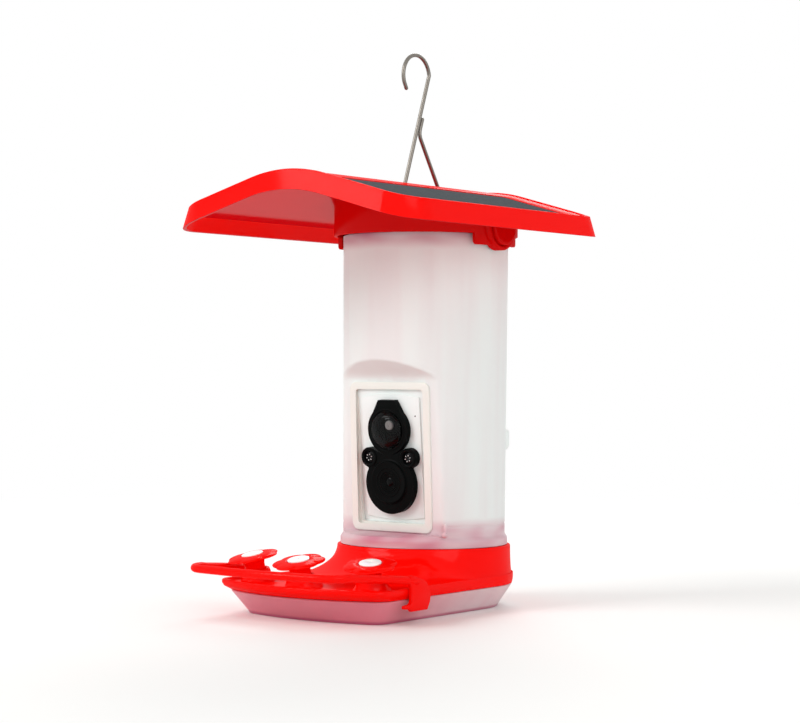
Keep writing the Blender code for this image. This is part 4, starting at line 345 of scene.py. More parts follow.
def cut_away(target, cutters):
    """Cuts the shapes out of the piece for good, and removes them."""
    for cutter in cutters:
        change = target.modifiers.new(cutter.name, "BOOLEAN")
        change.operation = "DIFFERENCE"
        change.solver = "EXACT"
        change.object = cutter
    graph = bpy.context.evaluated_depsgraph_get()
    mesh = bpy.data.meshes.new_from_object(target.evaluated_get(graph))
    target.modifiers.clear()
    old = target.data
    target.data = mesh
    mesh.name = old.name
    bpy.data.meshes.remove(old)
    for cutter in cutters:
        bpy.data.objects.remove(cutter, do_unlink=True)
    smoothed(mesh, 40)


# Finishes

def join(tree, source, socket):
    """Gives a socket its value, or a link from another socket."""
    if isinstance(source, bpy.types.NodeSocket):
        tree.links.new(source, socket)
    else:
        socket.default_value = source


def add_node(tree, kind, output, links=None, **settings):
    """Adds a node with its settings and what its inputs take, and gives back one of its outputs."""
    made = tree.nodes.new(kind)
    for name, value in settings.items():
        setattr(made, name, value)
    for name, source in (links or {}).items():
        join(tree, source, made.inputs[name])
    return made.outputs[output]


def noise(tree, place, patch_mm, detail=2.0, roughness=0.5):
    return add_node(tree, "ShaderNodeTexNoise", "Fac", {
        "Vector": place, "Scale": 1 / (patch_mm * MM), "Detail": detail, "Roughness": roughness})


def ranged(tree, value, low, high, to_low, to_high, ease="LINEAR"):
    """A value taken from one range to another and held at its ends."""
    return add_node(tree, "ShaderNodeMapRange", "Result", {
        "Value": value, "From Min": low, "From Max": high, "To Min": to_low, "To Max": to_high},
        interpolation_type=ease)


def worked(tree, operation, first, second):
    return add_node(tree, "ShaderNodeMath", "Value", {0: first, 1: second}, operation=operation)


def blend(tree, share, first, second, kind="RGBA"):
    links = {"Factor": share, "A": first, "B": second}
    return add_node(tree, "ShaderNodeMix", "Result", links, data_type=kind)


def stretched(tree, place, scale):
    return add_node(tree, "ShaderNodeMapping", "Vector", {"Vector": place, "Scale": scale})


def one_axis(tree, vector, axis):
    return add_node(tree, "ShaderNodeSeparateXYZ", axis, {"Vector": vector})


def bump(tree, height, depth_mm):
    links = {"Height": height, "Distance": depth_mm * MM, "Strength": 1.0}
    return add_node(tree, "ShaderNodeBump", "Normal", links)


def new_material(name):
    """An empty material, its node tree and its object coordinates."""
    made = bpy.data.materials.new(name)
    made.use_nodes = True
    return made, made.node_tree, add_node(made.node_tree, "ShaderNodeTexCoord", "Object")


def dress(made, **sockets):
    """Gives the material's shader its values and links, with an underscore for a space in a socket's name."""
    shader = made.node_tree.nodes["Principled BSDF"]
    for name, source in sockets.items():
        join(made.node_tree, source, shader.inputs[name.replace("_", " ")])
    return made


def rgba(colour, brighter=1.0):
    return (*[min(1, c * brighter) for c in colour[:3]], 1.0)


def moulded(name, colour, roughness, ior, grain_mm, grain_height_mm, tint=0.06, gloss_spread=0.08, **sockets):
    """Moulded plastic: an even colour that drifts a little, with the mould's fine grain in its gloss."""
    made, tree, place = new_material(name)
    grain = noise(tree, place, grain_mm, 4.0, 0.6)
    return dress(
        made, IOR=ior, **sockets,
        Base_Color=blend(tree, noise(tree, place, 35.0, 3.0), rgba(colour, 1 - tint), rgba(colour, 1 + tint)),
        Roughness=ranged(tree, grain, 0, 1, max(0.02, roughness - gloss_spread), roughness + gloss_spread),
        Normal=bump(tree, grain, grain_height_mm))


def paint_red_bounce_light(made, red_bounce_light, axis, spans_mm, glow_patch_mm):
    """Paints a neighbour's red light onto a finish, in lying patches, from full to none along an axis."""
    tree = made.node_tree
    own = tree.nodes["Principled BSDF"].inputs["Base Color"].links[0].from_socket
    place = add_node(tree, "ShaderNodeTexCoord", "Object")
    lying = stretched(tree, place, (0.6, 0.6, 1.8))
    glow_patch = ranged(tree, noise(tree, lying, glow_patch_mm, 1.0), 0.36, 0.64, 0.5, 1.0)
    # Painted red light also falls where the wall faces down toward the deck, and painted upright bands stand
    # for the far wall showing through.
    facing = one_axis(tree, add_node(tree, "ShaderNodeNewGeometry", "Normal"), "Z")
    bands = noise(tree, stretched(tree, place, (1.0, 1.0, 0.06)), 13.0)
    share = worked(tree, "MAXIMUM", ranged(tree, facing, -0.15, -0.8, 0.0, 0.08),
                   ranged(tree, bands, 0.42, 0.62, 0.0, 0.09))
    for full, none in spans_mm:
        near = ranged(tree, one_axis(tree, place, axis), none * MM, full * MM, 0.0, 1.0, "SMOOTHSTEP")
        share = worked(tree, "MAXIMUM", share, worked(tree, "MULTIPLY", glow_patch, near))
    dress(made, Base_Color=blend(tree, share, own, rgba(red_bounce_light)))


def bright_metal(name, colour, roughness, patch_mm, stretch=(1.0, 1.0, 1.0)):
    """Drawn or plated metal: bright, with a slight change of tone and gloss from patch to patch."""
    made, tree, place = new_material(name)
    patch = noise(tree, stretched(tree, place, stretch), patch_mm)
    return dress(made, Metallic=1.0, Base_Color=blend(tree, patch, rgba(colour, 0.93), rgba(colour)),
                 Roughness=ranged(tree, patch, 0, 1, roughness * 0.8, roughness * 1.3),
                 Normal=bump(tree, patch, 0.001))


def make_finishes(colours):
    """Every finish of the feeder, by name."""
    # Red ABS gives one deep colour under a thin clear gloss, which shows on rounded edges. Under the roof the
    # eye meets it at a low angle, where the gloss shows the pale ground. The roof's underside and the collar
    # with its buttons get a darker red, which is painted shade from the roof.
    found = {}
    for key, name, colour, coat, haze in (
            ("red_abs", "red_abs_polished_mould", colours.shell_red, 0.15, 0.1),
            ("red_under", "red_abs_under_roof_painted_shade", linear("#CE0610"), 0.3, 0.12),
            ("shaded_red", "red_abs_painted_collar_shade", colours.shaded_red, 0.1, 0.16)):
        found[key] = moulded(name, colour, 0.3, 1.54, 0.9, 0.002, tint=0.05, Specular_IOR_Level=0.0,
            Coat_Weight=coat, Coat_Roughness=haze)
    # Frosted styrene passes light but no picture. The red light of the deck and collar beside it is painted
    # onto it, near its foot and under the collar.
    found["frosted"] = moulded("frosted_styrene_bottle", colours.frosted, 0.5, 1.5, 0.35, 0.006, tint=0.012,
        gloss_spread=0.04, Transmission_Weight=0.2, Specular_IOR_Level=0.3)
    paint_red_bounce_light(found["frosted"], colours.red_bounce_light, "Z", ((43.0, 54.0), (213.5, 203.0)), 17.0)
    # The frame and the tunnel are two walls thick, so they look creamier and less clear than the wall.
    found["frosted_rib"] = moulded("frosted_styrene_rib", colours.frosted_rib, 0.45, 1.5, 0.35, 0.004,
        tint=0.01, Transmission_Weight=0.1, Specular_IOR_Level=0.35)
    # The tray is clearer, and the deck's red light is painted on it, pinkest in front and at its lower edge.
    found["tray"] = moulded("frosted_styrene_tray", colours.tray_clear, 0.34, 1.5, 0.5, 0.004, tint=0.03,
        gloss_spread=0.05, Transmission_Weight=0.35, Specular_IOR_Level=0.3)
    paint_red_bounce_light(found["tray"], colours.tray_red_bounce_light, "Y", ((-112.0, 5.0),), 900.0)
    paint_red_bounce_light(found["tray"], colours.tray_edge_painted_light, "Z", ((0.6, 2.6),), 900.0)
    # White ABS has a satin face with a soft even shine.
    found["white_abs"] = moulded("white_abs_satin_mould", colours.plate_white, 0.38, 1.54, 0.3, 0.006,
        tint=0.012)
    # The ports' polypropylene lets a little light into it, so its small edges look soft.
    found["port_white"] = moulded("white_polypropylene_port", colours.port_white, 0.3, 1.49, 0.5, 0.003,
        tint=0.01, Subsurface_Weight=0.15, Subsurface_Scale=0.002)
    # The black face has a fine spark-eroded grain that gives back very little light, as do the inner parts.
    found["black_pc"] = moulded("black_polycarbonate_face", colours.face_black, 0.34, 1.58, 0.35, 0.006,
        tint=0.15, Specular_IOR_Level=0.02)
    found["black_abs"] = moulded("black_abs_inner_part", linear("#121414"), 0.5, 1.54, 0.5, 0.008,
        Specular_IOR_Level=0.04)
    # The sensor's window is thin smoked plastic, so part of what is behind it shows straight through.
    found["dome"] = moulded("smoked_sensor_window", linear("#0C0E0E"), 0.05, 1.5, 2.0, 0.0006,
        gloss_spread=0.01, Specular_IOR_Level=0.2, Alpha=0.3)
    # Coated glass and dark epoxy: almost black, with a sharp faint highlight
    found["lens"] = moulded("coated_lens_glass", linear("#050607"), 0.05, 1.6, 3.0, 0.0005, gloss_spread=0.01,
        Specular_IOR_Level=0.06)
    found["lamp"] = moulded("infrared_lamp_epoxy", linear("#17191A"), 0.1, 1.55, 1.0, 0.001,
        Specular_IOR_Level=0.06)
    # The lamps' chips and the sensor's can are the only bright spots on the face.
    found["chip"] = moulded("lamp_chip_ceramic", linear("#DDDFDC"), 0.4, 1.6, 0.2, 0.004)
    # Silicone and rubber look matt and soft.
    found["silicone"] = moulded("grey_silicone_seal", linear("#8F8F8C"), 0.6, 1.41, 0.4, 0.01,
        Subsurface_Weight=0.1, Subsurface_Scale=0.002)
    found["flap"] = moulded("white_rubber_flap", linear("#DAD7D2"), 0.62, 1.5, 0.25, 0.012)
    # The wire's coarse even tone keeps it plain; screws and springs have a finer one.
    found["wire"] = bright_metal("drawn_steel_wire", colours.wire_grey, 0.36, 6.0)
    found["screw"] = bright_metal("zinc_plated_screw", linear("#B9B8B2"), 0.32, 0.3)
    found["spring"] = bright_metal("spring_steel_coil", linear("#A9A9A8"), 0.28, 0.3, (0.2, 1.0, 1.0))
    found["board"] = circuit_board()
    # The battery's shrunk sleeve is a smooth blue film.
    found["cell_sleeve"] = moulded("battery_shrink_sleeve", linear("#3F6FA0"), 0.3, 1.5, 1.5, 0.01)
    found["solar"] = solar_glass(colours.cell_grey)
    return found


def circuit_board():
    """Green solder mask over copper tracks, which show as slightly raised, lighter lines."""
    made, tree, place = new_material("green_solder_mask_board")
    tracks = add_node(tree, "ShaderNodeTexBrick", "Color", {
        "Vector": place, "Scale": 1 / (8 * MM), "Mortar Size": 0.05, "Color1": (0.006, 0.07, 0.03, 1),
        "Color2": (0.008, 0.09, 0.04, 1), "Mortar": (0.02, 0.18, 0.07, 1)}, offset=0.5)
    return dress(made, Base_Color=tracks, Roughness=0.3, Normal=bump(tree, tracks.node.outputs["Fac"], 0.03))


def solar_glass(colour):
    """Laminated solar cells: a dark grainy crystal under clear resin, with thin contact lines."""
    made, tree, place = new_material("laminated_solar_cells")
    crystal = add_node(tree, "ShaderNodeTexVoronoi", "Color", {"Vector": place, "Scale": 1 / (1.6 * MM)})
    speck = noise(tree, place, 0.7, 3.0)
    tone = blend(tree, blend(tree, 0.5, crystal, speck, "FLOAT"), rgba(colour, 0.72), rgba(colour, 1.25))
    # Contact lines run every 3 mm along the panel, drawn 0.25 mm wide.
    wave = worked(tree, "PINGPONG", one_axis(tree, place, "Y"), 1.5 * MM)
    line = worked(tree, "MULTIPLY", worked(tree, "LESS_THAN", wave, 0.12 * MM), 0.35)
    # The resin is etched against glare, so even a low look along it stays dark.
    return dress(made, Base_Color=blend(tree, line, tone, rgba(colour, 1.9)), Roughness=0.5, IOR=1.5,
                 Specular_IOR_Level=0.0, Normal=bump(tree, speck, 0.01))


finishes = {}


# Base outlines, as half outlines mirrored

def side_line(outline):
    """The straight side of a base outline: its corner, where it meets the round back, and at which angle."""
    back, side, corner = outline[:3]
    reach = math.hypot(side, corner)
    angle = math.atan2(-corner, side) + math.acos(back / reach)
    return Vector((side, -corner)), polar(back, angle), angle


def base_points(outline):
    """A base outline: a bowed front, cut corners, straight sides and a round back."""
    front_steps, corner_steps, side_steps, back_steps = 12, 8, 20, 26
    back, side, corner_y, front, cut = outline
    corner, back_start, back_angle = side_line(outline)
    bow = front - corner_y
    radius = (side ** 2 + bow ** 2) / (2 * bow)
    reach = math.asin(side / radius) - cut / radius
    bow_middle = Vector((0, radius - front))
    half = [bow_middle + polar(radius, reach * i / front_steps - math.pi / 2) for i in range(front_steps + 1)]
    arc_end, side_start = half[-1], corner + (back_start - corner).normalized() * cut
    for i in range(1, corner_steps + 1):
        share = i / corner_steps
        half.append(arc_end.lerp(corner, share).lerp(corner.lerp(side_start, share), share))
    start_angle = math.atan2(side_start.y, side_start.x)
    along = back_start - side_start
    for i in range(1, side_steps + 1):
        ray = polar(1, between(start_angle, back_angle, i / side_steps))
        share = side_start.cross(ray) / ray.cross(along)
        half.append(side_start + along * share)
    for i in range(1, back_steps + 1):
        half.append(polar(back, between(back_angle, math.pi / 2, i / back_steps)))
    return half + [Vector((-point.x, point.y)) for point in reversed(half[1:-1])]


def smaller(outline, by, back_by=None):
    back, side, corner, front, cut = outline
    return (back - (by if back_by is None else back_by), side - by, corner - by, front - by, cut)


def mixed(first, second, share):
    return tuple(between(a, b, share) for a, b in zip(first, second))


def lifted(points, height):
    return [(point.x, point.y, height) for point in points]


TRAY_RIM = (51.5, 56.0, 107.0, 122.5, 7.0)
TRAY_FLOOR = (43.5, 48.0, 101.4, 109.6, 7.0)
FOLD = (52.1, 58.5, 112.0, 127.0, 7.0)
FOOT = (51.5, 52.8, 68.0, 84.0, 7.0)


def tray_inside(height, inward):
    """The tray's inner face at this height, moved inward."""
    return base_points(smaller(mixed(TRAY_FLOOR, TRAY_RIM, (height - 2) / (TRAY_TOP - 2)), 2 + inward))


class BuildTray(bpy.types.Operator):
    """The clear nectar tray, with a rounded foot and a small step under its rim"""

    bl_idname = "feeder.tray"
    bl_label = "Nectar Tray"

    def execute(self, context):
        shape = bmesh.new()
        quarter = [math.radians(22.5 * i) for i in range(5)]
        levels = [(smaller(TRAY_FLOOR, 2.2), 0)]
        levels += [(smaller(TRAY_FLOOR, 1.0 - math.sin(a)), 1.0 - math.cos(a)) for a in quarter]
        levels += [(mixed(TRAY_FLOOR, TRAY_RIM, 0.5), 7.1)]
        levels += [(smaller(TRAY_RIM, inward), TRAY_TOP - down) for inward, down in (
            (0.25, 0.5), (0.5, 0.05), (0.9, 0), (1.6, 0), (2.0, 0.4))]
        levels += [(smaller(TRAY_FLOOR, by), height) for by, height in ((2.0, 3.0), (2.4, 2.3), (3.4, 2.0))]
        skin(shape, [lifted(base_points(outline), height) for outline, height in levels])
        piece(shape, "tray_shell", "tray", "base", ["nectar_tray"])
        return {"FINISHED"}


def flower_frames():
    """Each flower's frame: its Z runs up the leaning stem, and its origin is the middle of the flower."""
    return {side: turn(angle, "Z") @ at(reach, 0, 33.1) @ turn(13.0, "Y") for side, angle, reach in (
        ("left", -112.2, 111.0), ("middle", -90.0, 112.4), ("right", -67.8, 111.0))}


class BuildDeck(bpy.types.Operator):
    """The red base deck: a skirt with a rim, a hollow sweep and the ring that holds the bottle"""

    bl_idname = "feeder.deck"
    bl_label = "Base Deck"

    def execute(self, context):
        shape = bmesh.new()
        foot = base_points(FOOT)

        def sweep(outline, radius, low, high, share):
            """The hollow sweep from an outline up to a circle, at this share of its quarter turn."""
            angle = math.pi / 2 * share
            points = [p.lerp(p.normalized() * radius, math.sin(angle)) for p in outline]
            return lifted(points, between(low, high, 1 - math.cos(angle) ** 1.2))

        # The skirt, and the fold's rim rounded over onto the deck
        levels = [(TRAY_RIM, DECK_LOW), (mixed(TRAY_RIM, FOLD, 0.75), DECK_LOW + 2.0)]
        levels.append((smaller(FOLD, 0.05, 0), 17.4))
        for angle in (math.radians(18 * i) for i in range(1, 6)):
            hollow = 1 - math.cos(angle)
            levels.append((smaller(FOLD, 1.2 * hollow, 0.15 * hollow), DECK_TOP + 1.2 * math.sin(angle)))
        levels += [(smaller(FOLD, 1.9, 0.22), 19.1), (smaller(FOLD, 2.4, 0.3), DECK_TOP)]
        rings = [lifted(base_points(outline), height) for outline, height in levels]
        rings += [sweep(foot, 50.3, DECK_TOP, RING_TOP - 0.8, i / 16) for i in range(17)]
        rings += [lifted([p.normalized() * radius for p in foot], height) for radius, height in (
            (50.05, RING_TOP - 0.25), (49.5, RING_TOP), (47.8, RING_TOP), (47.1, RING_TOP - 0.3),
            (47.0, RING_TOP - 1.0), (47.0, 19.5), (16.0, 19.5), (16.0, 17.9), (48.5, 17.9), (48.5, 33.2),
            (49.0, 33.2))]
        rings += [sweep(base_points(smaller(FOOT, 1.6)), 49.1, 16.7, 33.2, i / 6) for i in reversed(range(7))]
        rings += [lifted(tray_inside(level, inward), height) for level, inward, height in (
            (DECK_LOW, 4.0, 16.7), (9.5, 4.0, 9.5), (9.5, 2.4, 9.5), (DECK_LOW, 2.4, DECK_LOW))]
        skin(shape, rings, closed=True)
        for place in flower_frames().values():
            spun(shape, [(6.15, -16.2), (6.15, -9.4), (6.5, -8.9), (7.3, -8.8), (7.9, -9.2), (8.1, -10.2),
                (8.4, -12.0), (9.6, -14.2), (11.5, -16.2), (6.15, -16.2)], 64, place)
        piece(shape, "deck_shell", "red_abs", "base", ["base_deck"], sharp=40)
        return {"FINISHED"}


class BuildFlowers(bpy.types.Operator):
    """Three flat flowers with rounded petals, and the white feeding ports in them"""

    bl_idname = "feeder.flowers"
    bl_label = "Flowers and Ports"

    def execute(self, context):
        reach = context.scene.feeder_sizes.flower_radius / MM
        angles = [math.radians(3 * i) for i in range(120)]

        def ring(place, radius, height, notch=0.0, crease=0.0):
            """A ring of the flower, notched and sunk between its six petals."""
            points = []
            for angle in angles:
                petal = abs(math.cos(3 * angle))
                out = radius * (1 - notch * (1 - petal ** 0.7))
                points.append(place @ polar(out, angle, height - crease * (1 - petal ** 0.5)))
            return points

        for side, place in flower_frames().items():
            shape = bmesh.new()
            skin(shape, [ring(place, *row) for row in (
                (3.8, -0.9), (6.2, -0.9), (6.45, -0.3), (6.75, -0.02), (7.3, 0.0), (8.6, -0.06, 0.01, 0.08),
                (10.4, -0.22, 0.035, 0.15), (12.2, -0.5, 0.065, 0.22), (13.6, -0.85, 0.09, 0.25),
                (reach - 0.35, -1.15, 0.11, 0.22), (reach, -1.55, 0.11, 0.18),
                (reach - 0.2, -2.0, 0.11, 0.12), (reach - 0.9, -2.2, 0.11, 0.1), (12.0, -2.15, 0.07),
                (9.0, -2.4, 0.02), (7.2, -3.1), (6.1, -4.2), (5.75, -6.0), (5.75, -18.5), (3.8, -18.5))],
                closed=True)
            piece(shape, f"flower_{side}_head", "red_abs", f"flower_{side}",
                [f"flower_{side}"], sharp=50)
            shape = bmesh.new()
            spun(shape, [(0.75, -1.2), (0.75, 0.45), (0.95, 0.65), (1.5, 0.82), (2.6, 0.88), (4.2, 0.8),
                (5.4, 0.62), (5.95, 0.4), (6.1, 0.1), (5.9, -0.5), (3.4, -0.8), (3.4, -27.0), (1.6, -27.0),
                (1.6, -1.2), (0.75, -1.2)], 72, place)
            piece(shape, f"feeding_port_{side}", "port_white", f"flower_{side}",
                [f"port_insert_{side}"])
        return {"FINISHED"}


# The perch's strap: where it starts, its size and its outline as shares of that size
STRAP_BACK, STRAP_FOOT, STRAP_LENGTH, STRAP_HEIGHT = 16.0, 7.1, 25.4, 19.7
STRAP = ((0.28, 0.0), (0.87, 0.0), (0.96, 0.19), (1.0, 0.38), (0.98, 0.52), (0.92, 0.65), (0.82, 0.77),
         (0.70, 0.85), (0.52, 0.89), (0.30, 0.99), (0.20, 0.94), (0.22, 0.80), (0.26, 0.62), (0.28, 0.28),
         (0.22, 0.20), (0.02, 0.18), (0.0, 0.13), (0.03, 0.09), (0.22, 0.07))


def strap_frame(side):
    """A frame on the deck's side: X runs back along it, Y up and Z out."""
    corner, back_start, _ = side_line(FOLD)
    way = (back_start - corner).normalized()
    start = corner + way * (STRAP_BACK / way.y)
    place = Matrix(((way.x, 0, way.y, start.x), (way.y, 0, -way.x, start.y), (0, 1, 0, STRAP_FOOT),
                    (0, 0, 0, 1)))
    return place if side == RIGHT else Matrix.Diagonal((-1, 1, 1, 1)) @ place


class BuildPerch(bpy.types.Operator):
    """The perch rail: a bowed bar with an arm and a clip-on strap at each side"""

    bl_idname = "feeder.perch"
    bl_label = "Perch Rail"

    def execute(self, context):
        shape = bmesh.new()
        bend, level, reach = 13.5, 27.7, 52.5
        shares = (0, 0.08, 0.17, 0.25, 0.33, 0.42, 0.5)
        half = [Vector((reach * s, -149.0 + 5.6 * s * s, level)) for s in shares]
        half += [Vector((x, y, level)) for x, y in arc((reach - bend, -146.2 + bend), bend, -90, 0, 12)[1:]]
        start, end = half[-1], strap_frame(RIGHT) @ Vector((STRAP_LENGTH * 0.45, STRAP_HEIGHT * 0.82, 1.4))
        for share in (i / 12 for i in range(1, 13)):
            point = start.lerp(end, share)
            point.z = level + (end.z - level) * math.sqrt(share) * (0.35 + 0.65 * share)
            half.append(point)
        path = [Vector((-p.x, p.y, p.z)) for p in reversed(half[1:])] + half
        pipe(shape, path, context.scene.feeder_sizes.perch_radius / MM, 24)
        strap = [(x * STRAP_LENGTH, z * STRAP_HEIGHT) for x, z in STRAP]
        for side in (RIGHT, LEFT):
            slab(shape, strap, 0.35, 2.5, strap_frame(side), 0.7)
        piece(shape, "perch_bar", "red_abs", "base", ["perch_rail"], sharp=50)
        return {"FINISHED"}


# Bottle

def bottle_wall_radius(height, sizes):
    """The bottle's outer radius: slightly wider above, with a flare at its foot and a rounded shoulder."""
    low, high = sizes.bottle_foot_radius / MM, sizes.bottle_radius / MM
    flare_top, rounding = 42.4, 0.6
    radius = between(low, high, (height - flare_top) / (SHOULDER - flare_top))
    if height < flare_top:
        share = min(1, (flare_top - height) / 3.2)
        radius = low + 1.5 * (0.5 - 0.5 * math.cos(math.pi * share))
    if 47.2 < height < 48.8:
        # A shallow parting groove runs round the wall above the foot.
        radius -= 0.3 * (0.5 + 0.5 * math.cos(math.pi * (height - 48.0) / 0.8))
    if height > SHOULDER - rounding:
        radius -= rounding - math.sqrt(max(0, rounding ** 2 - (height - SHOULDER + rounding) ** 2))
    return radius


def recess_depth(height, sizes):
    """How far in front of the axis the recess's surface is at this height, under its sloping overhang."""
    depth, lean = sizes.recess_depth / MM, math.tan(math.radians(RECESS_LEAN))
    overhang_start, overhang_slope, ledge_half = 90.5, math.tan(math.radians(34)), 1.2
    over = height - LEDGE
    flat = depth + over * lean
    overhang = depth + overhang_start * lean + (over - overhang_start) / overhang_slope
    ledge = 30 * min(1, max(0, 0.5 - over / (2 * ledge_half)))
    return ledge - soft_least(-flat, -overhang, 4.0)


class BuildBottle(bpy.types.Operator):
    """The frosted bottle: a round wall with a leaning recess, the camera's tunnel and a raised window frame"""

    bl_idname = "feeder.bottle"
    bl_label = "Nectar Bottle"

    def execute(self, context):
        sizes = context.scene.feeder_sizes
        soft, steps = sizes.recess_round / MM, 192
        angles = [2 * math.pi * (i + 0.5) / steps for i in range(steps)]

        def circle(radius, height):
            return [polar(radius, angle, height) for angle in angles]

        def ring(height):
            """The wall's outer line at this height, cut short in front where the recess is."""
            wall, depth, points = bottle_wall_radius(height, sizes), recess_depth(height, sizes), []
            for angle in angles:
                front = -math.sin(angle)
                radius = soft_least(wall, depth / front, soft * 2) if front > 0.05 else wall
                points.append(polar(radius, angle, height))
            return points

        # Rings stand close where the wall turns: at foot, ledge, groove, overhang and shoulder.
        heights = [BOTTLE_FOOT, 36.5, 37.5, 38.6, 39.4, 40.0, 40.6, 40.9, 41.2, 41.5, 41.8, 42.1, 42.4, 42.8]
        heights += [43.2, 43.7, 44.4, 45.4, 46.0, 47.2, 47.5, 47.8, 48.0, 48.2, 48.5, 48.8]
        heights += [50 + 2.0 * i for i in range(39)] + [127 + 0.8 * i for i in range(28)]
        heights += [150 + 4 * i for i in range(16)] + [213.3, 213.5, 213.65, 213.78, 213.86, SHOULDER]
        shape = bmesh.new()
        neck = [circle(45.0, SHOULDER), circle(45.0, NECK_TOP)]
        skin(shape, [circle(14.0, BOTTLE_FOOT), *map(ring, heights), *neck], capped=False)
        # The window in the flat and the tunnel's mouth at the back
        half, low, high = 26.0, CAMERA_LOW - 1.4, CAMERA_HIGH + 1.4

        def faces_within(beside, beyond):
            middles = ((f, f.calc_center_median()) for f in shape.faces)
            return [f for f, m in middles if abs(m.x) < half + beside and low - beyond < m.z < high + beyond]

        for place, normal in (((half, 0, 0), (1, 0, 0)), ((-half, 0, 0), (1, 0, 0)),
                              ((0, 0, low), (0, 0, 1)), ((0, 0, high), (0, 0, 1))):
            near = faces_within(6, 4)
            geom = near + list({e for f in near for e in f.edges}) + list({v for f in near for v in f.verts})
            bmesh.ops.bisect_plane(shape, geom=geom, plane_co=place, plane_no=normal, dist=1e-4)
        bmesh.ops.delete(shape, geom=faces_within(0, 0), context="FACES")
        bmesh.ops.recalc_face_normals(shape, faces=shape.faces)
        bottle = piece(shape, "bottle_wall", "frosted", "bottle", ["nectar_bottle"],
            sharp=45)
        thick = bottle.modifiers.new("wall", "SOLIDIFY")
        thick.thickness = sizes.bottle_wall
        thick.offset = -1
        # The tunnel
        shape = bmesh.new()
        inner, outline = rounded_rectangle(50.2, 79.2, 2.8), rounded_rectangle(53.8, 82.8, 4.6)
        place = facing_front(0, CAMERA_MIDDLE, 0)
        skin(shape, [drawn_in(points, 0, z, place) for points, z in (
            (inner, 27.6), (outline, 27.6), (outline, -43.0), (inner, -43.0))], closed=True)
        piece(shape, "camera_tunnel", "frosted_rib", "bottle")
        # The raised frame round the window, which follows the flat's lean
        shape = bmesh.new()
        depth = sizes.recess_depth / MM + (CAMERA_MIDDLE - LEDGE) * math.tan(math.radians(RECESS_LEAN))
        place = facing_front(depth, CAMERA_MIDDLE, RECESS_LEAN)
        proud = sizes.window_rim / MM
        outside, inside = rounded_rectangle(57.4, 85.6, 4.4), rounded_rectangle(49.8, 78.8, 2.2)
        skin(shape, [drawn_in(points, by, height, place) for points, by, height in (
            (outside, -0.4, -1.0), (outside, 0, proud * 0.35), (outside, 0.25, proud * 0.8),
            (outside, 0.7, proud), (inside, -0.7, proud), (inside, -0.25, proud * 0.85),
            (inside, 0, proud * 0.4), (inside, 0, -4.0), (inside, -1.6, -4.0), (inside, -1.6, -1.0))],
             closed=True)
        piece(shape, "window_frame", "frosted_rib", "bottle", sharp=60)
        # The small peg on the ledge
        shape = bmesh.new()
        pipe(shape, [(38.2, -30.6, 49.0), (38.2, -30.6, 44.0)], 1.0, 16)
        knob = at(38.2, -31.0, 43.6)
        bmesh.ops.create_uvsphere(shape, u_segments=20, v_segments=12, radius=1.7, matrix=knob)
        piece(shape, "ledge_peg", "frosted", "bottle")
        # The spigot and its mouth
        shape = bmesh.new()
        spun(shape, [(44.2, BOTTLE_FOOT + 0.3), (44.2, 21.7), (46.4, 21.7), (46.4, BOTTLE_FOOT + 0.3)], 96)
        spun(shape, [(12.0, 38.0), (12.0, 7.0), (14.0, 7.0), (14.0, 38.0)], 64)
        piece(shape, "bottle_spigot", "frosted", "bottle")
        return {"FINISHED"}


# Camera

def camera_face():
    return facing_front(29.0, CAMERA_MIDDLE, FACE_LEAN)


class BuildCameraShells(bpy.types.Operator):
    """The camera's pale front plate with its raised panel, and its rear shell with the grip"""

    bl_idname = "feeder.camera_shells"
    bl_label = "Camera Shells"

    def execute(self, context):
        shape = bmesh.new()
        outline, inner = rounded_rectangle(49.4, 78.4, 2.4), rounded_rectangle(45.4, 74.4, 2.6)
        plane, face = facing_front(0, CAMERA_MIDDLE, 0), camera_face()
        skin(shape, [drawn_in(points, by, height, place) for points, by, height, place in (
            (inner, 0, -8.0, plane), (outline, 0, -8.0, plane), (outline, 0, -0.9, face),
            (outline, 0.1, -0.35, face), (outline, 0.35, -0.1, face), (outline, 0.9, 0, face))])
        # The raised panel, with a bowed top and foot
        half, side, bow = 20.75, 34.25, 1.8
        radius = (half ** 2 + bow ** 2) / (2 * bow)
        sweep = math.degrees(math.asin(half / radius))
        top = arc((0, side + bow - radius), radius, 90 - sweep, 90 + sweep, 18)
        low = arc((0, radius - side - bow), radius, 270 - sweep, 270 + sweep, 18)
        slab(shape, top + low, -0.5, 0.85, face, 0.3)
        piece(shape, "camera_front_plate", "white_abs", "camera", ["camera_front_shell"])
        # A flat black disc on the panel is painted shade for the reset hole's dark inside.
        shape = bmesh.new()
        spun(shape, [(0, 0.87), (0.42, 0.87), (0.55, 0.8)], 20, face @ at(17.4, 23.7, 0))
        piece(shape, "reset_hole_shade_disc", "black_abs", "camera")
        # The rear shell: straight through the tunnel, then a brim and a back that follow the bottle's curve
        shape = bmesh.new()

        def on_curve(points, radius, by=0.0):
            found = []
            for x, y in points:
                x, y = x - math.copysign(by, x), y - math.copysign(by, y)
                found.append(Vector((x, math.sqrt(radius ** 2 - x * x), CAMERA_MIDDLE + y)))
            return found

        front, body, brim, back, middle = (rounded_rectangle(*row, 10) for row in (
            (45.4, 74.4, 2.6), (49.0, 78.0, 4.0), (54.6, 83.6, 6.8), (45.0, 74.0, 3.5), (30.0, 50.0, 2.5)))
        rings = [drawn_in(points, 0, -8.3, plane) for points in (front, body)]
        rings += [on_curve(*row) for row in (
            (body, 48.3), (brim, 48.3), (brim, 49.4), (brim, 49.8, 0.15), (brim, 50.0, 0.5), (back, 50.0),
            (middle, 50.0))]
        skin(shape, rings)
        slab(shape, rounded_rectangle(49.0, 13.0, 3.2), 45.0, 52.0,
             at(0, 0, CAMERA_MIDDLE + 9.2) @ turn(180, "Z") @ turn(90, "X"), 1.0, 4)
        piece(shape, "camera_back_cover", "white_abs", "camera", ["camera_rear_shell"],
            sharp=40)
        return {"FINISHED"}


